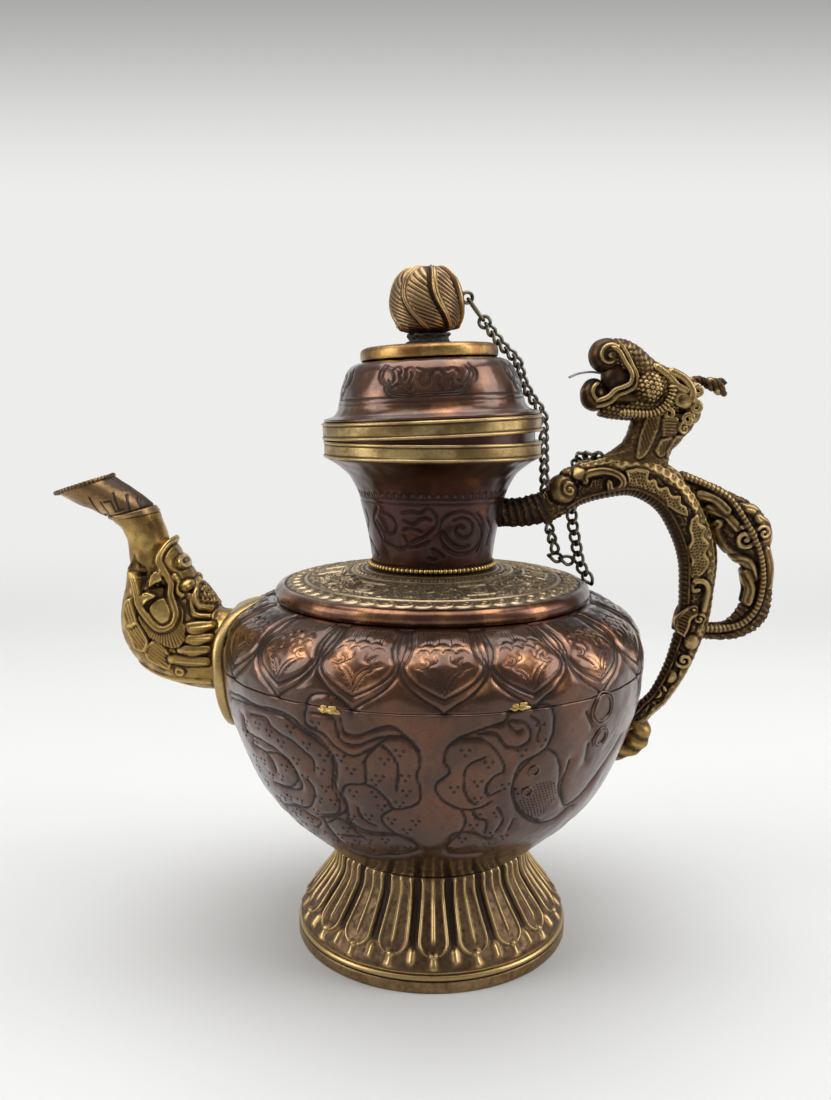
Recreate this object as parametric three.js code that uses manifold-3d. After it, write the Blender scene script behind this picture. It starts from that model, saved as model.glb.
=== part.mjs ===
// Tibetan ewer: a hammered copper vessel on a lotus foot, with a cast brass makara spout,
// a dragon handle, a lift-off domed lid and a curb chain that ties the lid to the handle.
// Millimetres, +Z up, the spout towards -X and the handle towards +X.
import * as THREE from 'three';
import Module from 'manifold-3d';
import { mergeVertices } from 'three/addons/utils/BufferGeometryUtils.js';

const wasm = await Module();
wasm.setup();

// Driving dimensions: the whole
const axisOffset = 7.4; // the vessel's own axis, from the middle of the box round the whole ewer
const sheet = 1.2; // hammered copper sheet
const castWall = 1.9; // wall of the hollow castings
const gap = 0.3; // running gap between neighbouring pieces
const overrun = 6; // how far a cutting shape runs past what it cuts
const weld = 0.001; // corners closer than this are one corner
const ease = 0.3; // slivers thinner than this are smoothed away on joined castings

// Driving dimensions: foot
const footRadius = 65.5;
const footHeight = 44.2;
const rimHeight = 8.2;
const rimWidth = 3.4;
const rimRound = 0.8;
const petalDepth = 1.5;
const petalLow = 15; // height of the petal tips
const petalFade = 3.5;
const petals = 20;

// Driving dimensions: vessel
const waistRadius = 45.3;
const bellyRadius = 99.1;
const bowlHeight = 92.5;
const shoulderHeight = 28;
const collarRadius = 73.9;
const collarHeight = 6.8;
const discRadius = 69.3;
const discRise = 7.1;
const discRelief = 0.8;
const neckRadius = 27.6;
const neckHeight = 58.6;
const beadRadius = 1.25;
const beads = 30;
const mouthRadius = 50.8;
const mouthHeight = 7.9;
const bandThick = 1;
const bandRidge = 0.5;

// Driving dimensions: lid and finial
const lidTilt = 2.4; // degrees; the lid lies cocked, its left edge down on the mouth
const lidProud = 0.4; // how far the lid's band stands out over the mouth's
const lidBandHeight = 7.7;
const sleeveDepth = 7;
const sleevePlay = 0.8;
const domeShare = 0.838; // dome, cap and band are parts of one turned lid
const domeHeight = 26;
const capShare = 0.617;
const capHeight = 7.1;
const stemRadius = 11;
const stemHeight = 4.4;
const budRadius = 16.4;
const budHeight = 30.4;
const budRidge = 0.9;
const budPetals = 8;
const eyeRadius = 2.4;
const wire = 1.35; // diameter of the rings and links

// Driving dimensions: spout
const spoutClear = 76.9; // how far the spout stands out beyond the belly
const spoutDrop = 17; // lowest point of the spout's throat below the seam
const spoutRise = 102;
const spoutWidth = 20.5; // half width of the head
const eyeballRadius = 3.2;
const tipWall = 1.1;
const flangeDrop = 6; // middle of the flange below the seam
const flangeLow = 32.5;
const flangeHigh = 27;
const flangeWide = 28.5;
const flangeProud = 4.6;
const pourHole = 7;

// Driving dimensions: handle
const handleClear = 26.5; // how far the handle's middle line stands out beyond the belly
const handleRise = 42.4; // top of the handle's middle line above the disc
const handleDrop = 30.5; // foot of the handle below the seam
const handleGirth = 9.8;
const headWidth = 11.5; // half width of the dragon's head
const headLong = 52;
const headHigh = 38;
const plumeReach = 36; // from the handle's back to the plume's farthest point
const plumeHigh = 78;
const plumeWidth = 8.5;
const ribShare = 0.615; // where the rib runs between the plume's inner and outer edges
const ribbonRadius = 1.1;

// Driving dimensions: chain
const upperLinks = 24;
const lowerLinks = 14;
const stapleAway = 8.5; // staple from the upper strand, in link reaches
const loopLinks = 2;
const linkHalfWidth = 2.25;
const linkBite = 0.42; // how far the wires of a touching pair run together
const linkPlay = 0.5; // play between one pair and the next
const longHalf = 6; // half length of the long link between the finial's eye and the ring
const longHalfWidth = 2.5;
const ringRadius = 2.6;
const strandSide = 13; // how far behind the middle plane the strands hang

// Counts and angles
const roundSides = 30;
const petalSteps = 3;
const wireSides = 5;
const linkSides = 4;
const linkSteps = 8;
const handleSides = 12;
const throatSides = 16;
const flangeSides = 24;
const linkTwist = THREE.MathUtils.degToRad(49);

// Levels and radii that follow from these
const bowlBase = footHeight + gap;
const seam = bowlBase + bowlHeight;
const shoulderBase = seam + gap;
const shoulderTop = shoulderBase + shoulderHeight;
const collarBase = shoulderTop + gap;
const collarTop = collarBase + collarHeight;
const discTop = collarTop + discRise;
const neckBase = discTop + gap;
const mouthTop = neckBase + neckHeight;
const mouthBase = mouthTop - mouthHeight;
const neckTopRadius = mouthRadius - bandThick - gap;
const neckBore = neckRadius - sheet;
const lidRadius = mouthRadius + lidProud;
const domeRadius = lidRadius * domeShare;
const capRadius = lidRadius * capShare;
const lidSeat = mouthTop + gap;
const sleeveRadius = neckTopRadius - sheet - sleevePlay;
const domeBase = lidBandHeight + gap;
const capBase = domeBase + domeHeight + gap;
const stemBase = capBase + capHeight + gap;
const budBase = stemBase + stemHeight + gap;
const spoutRoot = bellyRadius * 0.85;
const spoutReach = bellyRadius + spoutClear;
const spoutFoot = seam - spoutDrop;
const flangeCentre = seam - flangeDrop;
const handleReach = bellyRadius + handleClear;
const handleTop = neckBase + handleRise;
const handleLow = seam - handleDrop;

// Outlines as shares of the sizes they span, each row radius and height
const bowlShares = [[0, 0], [0.1, 0.04], [0.22, 0.1], [0.35, 0.168], [0.49, 0.245], [0.635, 0.349],
  [0.741, 0.453], [0.835, 0.583], [0.915, 0.712], [0.974, 0.842], [1, 1]];
const shoulderShares = [[1, 0], [0.99, 0.24], [0.9, 0.5], [0.68, 0.754], [0.24, 0.955], [0, 1]];
const neckShares = [[0, 0], [0.045, 0.1], [0.1, 0.28], [0.155, 0.39], [0.235, 0.53], [0.315, 0.67],
  [0.4, 0.76], [0.54, 0.855], [0.77, 0.94], [1, 1]];
const footShares = [[0.93, 0], [0.9, 0.09], [0.72, 0.22], [0.51, 0.38], [0.28, 0.55], [0.08, 0.72],
  [0.02, 0.84], [0, 1]];
const domeShares = [[1.162, 0], [1.065, 0.05], [1.016, 0.15], [1, 0.25], [0.965, 0.53], [0.916, 0.76],
  [0.885, 0.86], [0.83, 0.95], [0.76, 1]];
const capShares = [[0.97, 0], [1, 0.12], [1, 0.6], [0.96, 0.82], [0.86, 0.93], [0.5, 1], [0.36, 1]];
const stemShares = [[1, 0], [0.86, 0.2], [0.8, 0.45], [0.92, 0.8], [0.88, 1]];
const budShares = [[0.5, 0], [0.74, 0.06], [0.93, 0.2], [1, 0.4], [0.97, 0.58], [0.84, 0.77],
  [0.6, 0.9], [0.3, 0.975]];

// The spout's sections as shares of reach and rise: lower edge, upper edge, then half width
const headShares = [[0.003, -0.01, -0.093, 0.37, 0.9], [0.204, -0.005, 0.147, 0.375, 0.93],
  [0.31, 0.005, 0.191, 0.405, 0.95], [0.434, 0.035, 0.237, 0.46, 1], [0.549, 0.085, 0.294, 0.535, 1],
  [0.636, 0.165, 0.348, 0.615, 1], [0.685, 0.265, 0.396, 0.68, 0.96],
  [0.685, 0.375, 0.438, 0.74, 0.86], [0.659, 0.48, 0.469, 0.79, 0.76],
  [0.647, 0.545, 0.49, 0.832, 0.7]];
const tipShares = [[0.722, 0.8, 0.484, 0.834, 0.53], [0.781, 0.826, 0.521, 0.876, 0.56],
  [0.866, 0.86, 0.59, 0.924, 0.59], [0.939, 0.892, 0.655, 0.966, 0.61], [1, 0.918, 0.716, 1, 0.62]];
const tubeShares = [[0.618, 0.417, 0.404, 0.446, 0.48], [0.63, 0.52, 0.417, 0.534, 0.48],
  [0.639, 0.608, 0.425, 0.608, 0.48], [0.645, 0.686, 0.433, 0.681, 0.485],
  [0.67, 0.75, 0.45, 0.752, 0.5]];
// Wavy lips of the makara, from the snout round the corner of the mouth to the chin, then half width
const lipShares = [[0.415, 0.69, 0.74], [0.455, 0.69, 0.76], [0.49, 0.63, 0.84], [0.455, 0.55, 0.93],
  [0.428, 0.47, 0.98], [0.413, 0.38, 1], [0.375, 0.26, 1.02], [0.425, 0.2, 1.01], [0.509, 0.225, 1],
  [0.57, 0.3, 0.93], [0.616, 0.385, 0.82], [0.632, 0.47, 0.68]];

// The handle's middle line as shares of reach and of the height between its ends, then girth
const handleShares = [[0.03, 0.845, 0.66], [0.141, 0.85, 0.7], [0.269, 0.875, 0.76],
  [0.398, 0.95, 0.92], [0.526, 0.985, 0.96], [0.667, 1, 1], [0.789, 0.962, 1], [0.885, 0.89, 0.98],
  [0.962, 0.77, 0.96], [0.996, 0.66, 0.9], [0.997, 0.54, 0.8], [0.987, 0.41, 0.72],
  [0.945, 0.28, 0.62], [0.9, 0.18, 0.54], [0.833, 0.08, 0.46], [0.776, 0.03, 0.43],
  [0.718, -0.02, 0.42], [0.6, -0.07, 0.42]];
// The plume's sections as shares of its reach and height: inner edge, outer edge, half width
const plumeShares = [
  [-0.36, 0.92, -0.36, 0.99, 0.3], [-0.22, 0.91, -0.22, 0.985, 0.4], [-0.03, 0.82, 0.1, 0.945, 0.62],
  [0.1, 0.74, 0.37, 0.88, 0.85], [0.2, 0.64, 0.62, 0.83, 1], [0.31, 0.55, 0.83, 0.75, 1],
  [0.45, 0.49, 0.93, 0.63, 0.9], [0.575, 0.42, 0.95, 0.52, 0.76], [0.615, 0.32, 1, 0.36, 0.62],
  [0.6, 0.23, 0.985, 0.17, 0.56], [0.52, 0.14, 0.86, 0.05, 0.52], [0.35, 0.075, 0.57, -0.02, 0.48],
  [0.19, 0.07, 0.3, -0.03, 0.44], [0.0, 0.09, 0.0, -0.02, 0.4]];
// The dragon's jaws as shares of the head's length and height: lower edge, upper edge, half width
const upperJawShares = [
  [0.86, 0.02, 1.02, 0.45, 0.7], [0.72, 0.1, 0.86, 0.56, 0.9], [0.58, 0.26, 0.66, 0.69, 0.95],
  [0.49, 0.44, 0.5, 0.87, 0.86], [0.38, 0.52, 0.37, 0.955, 0.72], [0.28, 0.6, 0.25, 0.96, 0.5]];
const lowerJawShares = [
  [0.86, -0.02, 0.8, 0.4, 0.8], [0.6, -0.02, 0.56, 0.36, 0.9], [0.4, -0.01, 0.42, 0.26, 0.76],
  [0.25, 0.01, 0.27, 0.2, 0.56], [0.16, 0.04, 0.2, 0.18, 0.36]];
// The dragon's neck, rising from the handle: middle line and girth as shares of the head's length
const napeShares = [[0.62, -0.78, 0.36], [0.655, -0.56, 0.27], [0.68, -0.36, 0.245], [0.74, -0.14, 0.275],
  [0.78, 0.06, 0.27]];
// The open mouth's rim on the dragon's head, then the ribbed collar under the cheek
const jowlShares = [
  [0.36, 0.83, 0.72], [0.45, 0.7, 0.86], [0.51, 0.52, 0.93], [0.51, 0.4, 0.93], [0.42, 0.33, 0.84],
  [0.32, 0.22, 0.7], [0.2, 0.16, 0.5]];
const ruffShares = [[0.52, 0.03, 0.9], [0.63, 0.03, 0.95], [0.74, 0.1, 0.98], [0.81, 0.22, 0.95],
  [0.84, 0.36, 0.86]];

// Copper and brass finishes
function metal(colour, roughness) {
  return new THREE.MeshStandardMaterial({ color: colour, roughness, metalness: 1 });
}
const finishes = {
  copper: metal('#6a4a3f', 0.42),
  warmCopper: metal('#8c5437', 0.35),
  brass: metal('#8d7542', 0.38),
  agedBrass: metal('#6f5b38', 0.45),
  bronze: metal('#57462c', 0.48),
  silver: metal('#a09b92', 0.4),
  darkMetal: metal('#47443a', 0.5),
};

// Merges shared corners, drops empty faces and turns all faces outwards
function closed(geometry) {
  geometry.deleteAttribute('normal');
  geometry.deleteAttribute('uv');
  const merged = mergeVertices(geometry, weld);
  const old = merged.index.array;
  const kept = [];
  for (let i = 0; i < old.length; i += 3) {
    const [a, b, c] = [old[i], old[i + 1], old[i + 2]];
    if (a !== b && b !== c && c !== a) kept.push(a, b, c);
  }
  if (signedVolume(merged, kept) < 0) kept.reverse();
  merged.setIndex(kept);
  return merged;
}

function signedVolume(geometry, order) {
  const spots = geometry.attributes.position;
  const [a, b, c] = [new THREE.Vector3(), new THREE.Vector3(), new THREE.Vector3()];
  let sum = 0;
  for (let i = 0; i < order.length; i += 3) {
    a.fromBufferAttribute(spots, order[i]);
    b.fromBufferAttribute(spots, order[i + 1]);
    c.fromBufferAttribute(spots, order[i + 2]);
    sum += a.dot(b.cross(c)) / 6;
  }
  return sum;
}

function solidOf(geometry) {
  const vertProperties = Float32Array.from(geometry.attributes.position.array);
  const triVerts = Uint32Array.from(geometry.index.array);
  return new wasm.Manifold(new wasm.Mesh({ numProp: 3, vertProperties, triVerts }));
}

function geometryOf(joined, tolerance = ease) {
  const mesh = joined.simplify(tolerance).getMesh();
  const geometry = new THREE.BufferGeometry();
  geometry.setAttribute('position', new THREE.BufferAttribute(Float32Array.from(mesh.vertProperties), 3));
  geometry.setIndex(new THREE.BufferAttribute(Uint32Array.from(mesh.triVerts), 1));
  return geometry;
}

// Skins rings of equal count: joined end to end, or capped with a fan at each end
function skin(rings, ends) {
  const sides = rings[0].length;
  const spots = rings.flat();
  const faces = [];
  const spans = ends === 'joined' ? rings.length : rings.length - 1;
  for (let i = 0; i < spans; i += 1) {
    const next = (i + 1) % rings.length;
    for (let j = 0; j < sides; j += 1) {
      const turn = (j + 1) % sides;
      const [a, b] = [i * sides + j, i * sides + turn];
      const [c, d] = [next * sides + turn, next * sides + j];
      faces.push(a, b, c, a, c, d);
    }
  }
  if (ends === 'capped') {
    const last = (rings.length - 1) * sides;
    spots.push(middleOf(rings[0]), middleOf(rings[rings.length - 1]));
    for (let j = 0; j < sides; j += 1) {
      const turn = (j + 1) % sides;
      faces.push(turn, j, spots.length - 2);
      faces.push(last + j, last + turn, spots.length - 1);
    }
  }
  const geometry = new THREE.BufferGeometry().setFromPoints(spots);
  geometry.setIndex(faces);
  return closed(geometry);
}

function middleOf(ring) {
  const sum = new THREE.Vector3();
  ring.forEach((spot) => sum.add(spot));
  return sum.divideScalar(ring.length);
}

// A profile of [radius, height] turned about the upright axis
function revolve(profile, sides = roundSides) {
  const lathe = new THREE.LatheGeometry(profile.map(([r, z]) => new THREE.Vector2(r, z)), sides);
  return closed(lathe.rotateX(Math.PI / 2));
}

// The same profile moved sideways by a distance, to its left as it runs
function inset(profile, distance) {
  return profile.map(([r, z], i) => {
    const before = profile[Math.max(i - 1, 0)];
    const after = profile[Math.min(i + 1, profile.length - 1)];
    const along = new THREE.Vector2(after[0] - before[0], after[1] - before[1]).normalize();
    return [Math.max(r - along.y * distance, 0), z + along.x * distance];
  });
}

// The inner side of a sheet, run backwards, with every second point of its outline
function innerSide(outline, thickness) {
  const inner = inset(outline, thickness).reverse();
  return inner.filter((_, i) => i % 2 === 0 || i === inner.length - 1);
}

// A closed profile: the outline and its inner side
function shellProfile(outline, thickness) {
  return [...outline, ...innerSide(outline, thickness), outline[0]];
}

// Rows of shares turned into a smooth run of [radius, height] points
function outlineOf(shares, radiusAt, heightAt, count) {
  const curve = new THREE.SplineCurve(shares.map(([r, z]) => new THREE.Vector2(radiusAt(r), heightAt(z))));
  return curve.getSpacedPoints(count).map((spot) => [spot.x, spot.y]);
}

// An ellipse between two edges that lie in the middle plane, with its half width across it
function edgeRing([lowX, lowZ, highX, highZ, half], sides, swell = 0) {
  const centre = new THREE.Vector3((lowX + highX) / 2, 0, (lowZ + highZ) / 2);
  const reach = new THREE.Vector3(highX - lowX, 0, highZ - lowZ).divideScalar(2);
  reach.setLength(reach.length() + swell);
  const across = new THREE.Vector3(0, half + swell, 0);
  return Array.from({ length: sides }, (_, i) => {
    const turn = (2 * Math.PI * i) / sides;
    return centre.clone().addScaledVector(reach, Math.cos(turn)).addScaledVector(across, Math.sin(turn));
  });
}

// Rows of five numbers smoothed into more rows
function smoothRows(rows, count) {
  const first = new THREE.CatmullRomCurve3(rows.map((row) => new THREE.Vector3(row[0], row[1], row[4])));
  const second = new THREE.CatmullRomCurve3(rows.map((row) => new THREE.Vector3(row[2], row[3], 0)));
  return Array.from({ length: count + 1 }, (_, i) => {
    const a = first.getPoint(i / count);
    const b = second.getPoint(i / count);
    return [a.x, a.y, b.x, b.y, a.z];
  });
}

// Rows of [x, z, radius] in the middle plane turned into sections square to their line
function sweepRows(rows, count, flat = 1) {
  const line = new THREE.CatmullRomCurve3(rows.map(([x, z, r]) => new THREE.Vector3(x, z, r)));
  return Array.from({ length: count + 1 }, (_, i) => {
    const here = line.getPoint(i / count);
    const along = line.getTangent(i / count).setZ(0).normalize();
    const [outX, outZ] = [-along.y * here.z, along.x * here.z];
    return [here.x - outX, here.y - outZ, here.x + outX, here.y + outZ, here.z * flat];
  });
}

function skinRows(rows, sides, swell = 0) {
  return skin(rows.map((row) => edgeRing(row, sides, swell)), 'capped');
}

// A hollow tube from rows of sections, open at both ends
function hollowRows(rows, sides, thickness) {
  const outer = rows.map((row) => edgeRing(row, sides));
  const inner = rows.map((row) => edgeRing(row, sides, -thickness));
  return skin([...outer, ...inner.reverse()], 'joined');
}

function ellipsoid(centre, radii, columns, rows) {
  const ball = new THREE.SphereGeometry(1, columns, rows);
  ball.scale(...radii);
  ball.translate(...centre);
  return closed(ball);
}

// A round rod through spots in space, as thick as asked at every step
function rod(spots, radius, steps, sides) {
  const path = new THREE.CatmullRomCurve3(spots);
  const section = new THREE.Shape(new THREE.EllipseCurve(0, 0, radius, radius).getPoints(sides).slice(0, sides));
  return closed(new THREE.ExtrudeGeometry(section, { steps, extrudePath: path, curveSegments: sides }));
}

function bothSides(spots) {
  return [1, -1].map((side) => spots.map(([x, z, y]) => new THREE.Vector3(x, side * y, z)));
}

function unite(geometries) {
  return geometries.map(solidOf).reduce((whole, next) => whole.add(next));
}

const ewer = new THREE.Group();
ewer.position.x = axisOffset;
const group = new THREE.Group();
group.add(ewer);

function place(name, geometry, finish, parent = ewer) {
  const mesh = new THREE.Mesh(geometry, finishes[finish]);
  mesh.name = name;
  parent.add(mesh);
  return mesh;
}

// Foot: a rolled rim under a flared skirt of long lotus petals
function footOutline(count) {
  const span = footRadius - waistRadius;
  const low = rimHeight + gap;
  return outlineOf(footShares, (r) => waistRadius + r * span, (z) => low + z * (footHeight - low), count);
}

function footRim() {
  const inner = footRadius - rimWidth;
  const profile = [
    [inner, 0], [footRadius - rimRound, 0], [footRadius, rimRound], [footRadius, rimHeight - rimRound * 2],
    [footRadius - rimRound, rimHeight - rimRound], [footRadius - rimRound * 1.5, rimHeight],
    [inner, rimHeight], [inner, 0]];
  return revolve(profile);
}

// Each petal swells between two grooves and fades out at its tip
function petalSwell(step, height) {
  const within = (step % petalSteps) / petalSteps;
  const bulge = 1 - (2 * within - 1) ** 2;
  const fade = THREE.MathUtils.smoothstep(height, petalLow, petalLow + petalFade);
  const close = 1 - THREE.MathUtils.smoothstep(height, footHeight - petalFade, footHeight);
  return petalDepth * (bulge - 0.4) * fade * close;
}

function footSkirt() {
  const steps = petals * petalSteps;
  const ring = (radiusOf, height) => Array.from({ length: steps }, (_, i) => {
    const turn = (2 * Math.PI * i) / steps;
    const radius = radiusOf(i, height);
    return new THREE.Vector3(radius * Math.cos(turn), radius * Math.sin(turn), height);
  });
  const outline = footOutline(7);
  const wall = sheet + petalDepth / 2;
  const inner = [...inset(footOutline(2), wall).slice(1).reverse(), [outline[0][0] - wall, outline[0][1]]];
  const outerRings = outline.map(([r, z]) => ring((i) => r + petalSwell(i, z), z));
  return skin([...outerRings, ...inner.map(([r, z]) => ring(() => r, z))], 'joined');
}

place('foot_rim', footRim(), 'brass');
place('foot_skirt', footSkirt(), 'brass');

// Vessel: bowl and shoulder meet at a soldered seam at the widest point
function bowlOutline(count) {
  const span = bellyRadius - waistRadius;
  return outlineOf(bowlShares, (r) => waistRadius + r * span, (z) => bowlBase + z * bowlHeight, count);
}

const shoulderEdge = collarRadius - sheet;
function shoulderOutline(count) {
  const span = bellyRadius - shoulderEdge;
  const heightAt = (z) => shoulderBase + z * shoulderHeight;
  return outlineOf(shoulderShares, (r) => shoulderEdge + r * span, heightAt, count);
}

function neckOutline(count) {
  const span = neckTopRadius - neckRadius;
  return outlineOf(neckShares, (r) => neckRadius + r * span, (z) => neckBase + z * (mouthBase - neckBase), count);
}

// The space the vessel takes up with its running gap, for fitting the mounts to it
const bodyRoom = solidOf(revolve([[0, bowlBase - overrun], ...inset(bowlOutline(16), -gap),
  ...inset(shoulderOutline(10), -gap), [0, shoulderTop + gap]]));
const neckRoom = solidOf(revolve([[0, neckBase], ...inset(neckOutline(14), -gap), [0, mouthBase]]));

function bowl() {
  const outline = [[0, bowlBase], ...bowlOutline(9)];
  const profile = [...outline, ...innerSide(outline, sheet)];
  const hole = new THREE.CylinderGeometry(pourHole, pourHole, bellyRadius, 12).rotateZ(Math.PI / 2);
  hole.translate(-bellyRadius, 0, flangeCentre - sheet);
  return geometryOf(solidOf(revolve(profile)).subtract(solidOf(closed(hole))));
}

function collar() {
  const inner = discRadius + gap;
  const waist = collarHeight * 0.4;
  const round = Array.from({ length: 4 }, (_, i) => {
    const turn = (Math.PI / 2) * (i / 3);
    const [across, up] = [Math.cos(turn), Math.sin(turn)];
    return [inner + (collarRadius - inner) * across, collarBase + waist + (collarHeight - waist) * up];
  });
  return revolve(shellProfile([[collarRadius - sheet / 2, collarBase], ...round], sheet));
}

// The disc rises from the collar to the neck, with a raised leaf border and a plain ring
function disc() {
  const slope = (share) => collarTop - sheet + share * (discRise + sheet);
  const radius = (share) => discRadius + share * (neckBore - discRadius);
  const ridge = (share, lift) => [radius(share), slope(share) + lift * discRelief];
  const top = [ridge(0, 0), ridge(0.02, 1), ridge(0.26, 1), ridge(0.28, 0), ridge(0.74, 0), ridge(0.76, 0.8),
    ridge(0.8, 0.8), ridge(0.82, 0), [neckBore, discTop]];
  const under = [[neckBore, discTop - sheet], [discRadius, slope(0) - sheet]];
  return revolve([...top, ...under, top[0]]);
}

function beadRing() {
  const steps = beads * 2;
  const centre = neckRadius + gap + beadRadius;
  const rings = Array.from({ length: steps }, (_, i) => {
    const turn = (2 * Math.PI * i) / steps;
    const girth = i % 2 ? beadRadius * 0.62 : beadRadius;
    return Array.from({ length: wireSides }, (_, j) => {
      const roll = (2 * Math.PI * j) / wireSides;
      const radius = centre + girth * Math.cos(roll);
      const height = neckBase + beadRadius + girth * Math.sin(roll);
      return new THREE.Vector3(radius * Math.cos(turn), radius * Math.sin(turn), height);
    });
  });
  return skin(rings, 'joined');
}

// The neck flares to a short upright mouth, whose bore takes the lid's sleeve
function neck() {
  const outline = neckOutline(9);
  const mouthBore = neckTopRadius - sheet;
  const mouth = [[neckTopRadius, mouthTop], [mouthBore, mouthTop], [mouthBore, mouthBase + sheet]];
  return revolve([...outline, ...mouth, ...innerSide(outline, sheet).slice(1), outline[0]]);
}

function mouthBand() {
  const [inner, low, high] = [mouthRadius - bandThick, mouthBase + gap, mouthTop];
  const ridge = mouthHeight * 0.16;
  const outer = mouthRadius - bandRidge;
  const profile = [
    [inner, low], [mouthRadius, low], [mouthRadius, low + ridge], [outer, low + ridge * 1.3],
    [outer, high - ridge * 1.3], [mouthRadius, high - ridge], [mouthRadius, high], [inner, high], [inner, low]];
  return revolve(profile);
}

place('body_bowl', bowl(), 'copper');
place('body_shoulder', revolve(shellProfile(shoulderOutline(7), sheet)), 'copper');
place('shoulder_collar', collar(), 'warmCopper');
place('shoulder_disc', disc(), 'brass');
place('neck_bead_ring', beadRing(), 'brass');
place('neck', neck(), 'copper');
place('mouth_band', mouthBand(), 'brass');

// Lid: everything sits in a group that is cocked about the left edge of the band
const cocked = new THREE.Group();
cocked.position.set(-lidRadius, 0, lidSeat);
cocked.rotation.y = -THREE.MathUtils.degToRad(lidTilt);
const lid = new THREE.Group();
lid.position.x = lidRadius;
cocked.add(lid);
ewer.add(cocked);

function lidBand() {
  const inner = sleeveRadius + gap;
  const ridge = lidBandHeight * 0.16;
  const outer = lidRadius - bandRidge;
  const profile = [
    [inner, 0], [lidRadius, 0], [lidRadius, ridge], [outer, ridge * 1.3],
    [outer, lidBandHeight - ridge * 1.3], [lidRadius, lidBandHeight - ridge],
    [lidRadius, lidBandHeight], [inner, lidBandHeight], [inner, 0]];
  return revolve(profile);
}

function lidSleeve() {
  const inner = sleeveRadius - sheet;
  const profile = [
    [inner, -sleeveDepth], [sleeveRadius, -sleeveDepth],
    [sleeveRadius, lidBandHeight], [inner, lidBandHeight], [inner, -sleeveDepth]];
  return revolve(profile);
}

function lidDome() {
  const heightAt = (z) => domeBase + sheet + z * (domeHeight - sheet);
  const outline = outlineOf(domeShares, (r) => r * domeRadius, heightAt, 8);
  outline.push([0, domeBase + domeHeight]);
  const foot = [outline[0][0], domeBase];
  return revolve([foot, ...outline, ...innerSide(outline, sheet), foot]);
}

function lidCap() {
  const outline = outlineOf(capShares, (r) => r * capRadius, (z) => capBase + z * capHeight, 6);
  outline.push([0, capBase + capHeight]);
  return revolve(shellProfile(outline, castWall));
}

function finialStem() {
  const outline = outlineOf(stemShares, (r) => r * stemRadius, (z) => stemBase + z * stemHeight, 4);
  return revolve([[0, stemBase], ...outline, [0, stemBase + stemHeight]], 20);
}

// A closed lotus bud whose petals twist as they rise
function finialBud() {
  const sides = budPetals * 3;
  const outline = outlineOf(budShares, (r) => r * budRadius, (z) => budBase + z * budHeight, 7);
  const rings = outline.map(([r, z]) => Array.from({ length: sides }, (_, i) => {
    const turn = (2 * Math.PI * i) / sides + (z - budBase) / budHeight;
    const radius = r * (1 + (i % 3 ? budRidge : -budRidge) / budRadius / 2);
    return new THREE.Vector3(radius * Math.cos(turn), radius * Math.sin(turn), z);
  }));
  return skin(rings, 'capped');
}

// A wire eye whose foot is let into the bud's right side
const eyeHeight = budBase + budHeight * 0.5;
const eyeCentre = new THREE.Vector3(budRadius + eyeRadius * 0.8, 0, eyeHeight);
function wireRing(centre, radius) {
  const ring = new THREE.TorusGeometry(radius, wire / 2, wireSides, 12);
  ring.rotateX(Math.PI / 2);
  ring.translate(...centre.toArray());
  return closed(ring);
}

const bud = finialBud();
const budSwell = 1 + gap / budRadius;
const budRoom = bud.clone().translate(0, 0, -eyeHeight)
  .scale(budSwell, budSwell, budSwell).translate(0, 0, eyeHeight);
const eyeFitted = solidOf(wireRing(eyeCentre, eyeRadius)).subtract(solidOf(budRoom));
place('lid_band', lidBand(), 'brass', lid);
place('lid_sleeve', lidSleeve(), 'agedBrass', lid);
place('lid_dome', lidDome(), 'copper', lid);
place('lid_cap', lidCap(), 'brass', lid);
place('finial_stem', finialStem(), 'agedBrass', lid);
place('finial_bud', bud, 'agedBrass', lid);
place('finial_eye', geometryOf(eyeFitted), 'agedBrass', lid);

// Spout: the rows of shares become millimetres, measured from the vessel's axis
const spoutX = (share) => -(spoutRoot + share * (spoutReach - spoutRoot));
const spoutZ = (share) => spoutFoot + share * spoutRise;
const spoutRows = (shares) => shares.map((row) => [
  spoutX(row[0]), spoutZ(row[1]), spoutX(row[2]), spoutZ(row[3]), row[4] * spoutWidth]);
const headRows = smoothRows(spoutRows(headShares), 10);
const tipRows = smoothRows(spoutRows(tipShares), 6);
const [lowX, lowZ, highX, highZ, tipHalf] = tipRows[0];
const tubeEnd = [lowX, lowZ - gap * 1.4, highX, highZ - gap * 1.4, tipHalf];
const tubeRows = smoothRows([...spoutRows(tubeShares), tubeEnd], 6);

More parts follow.
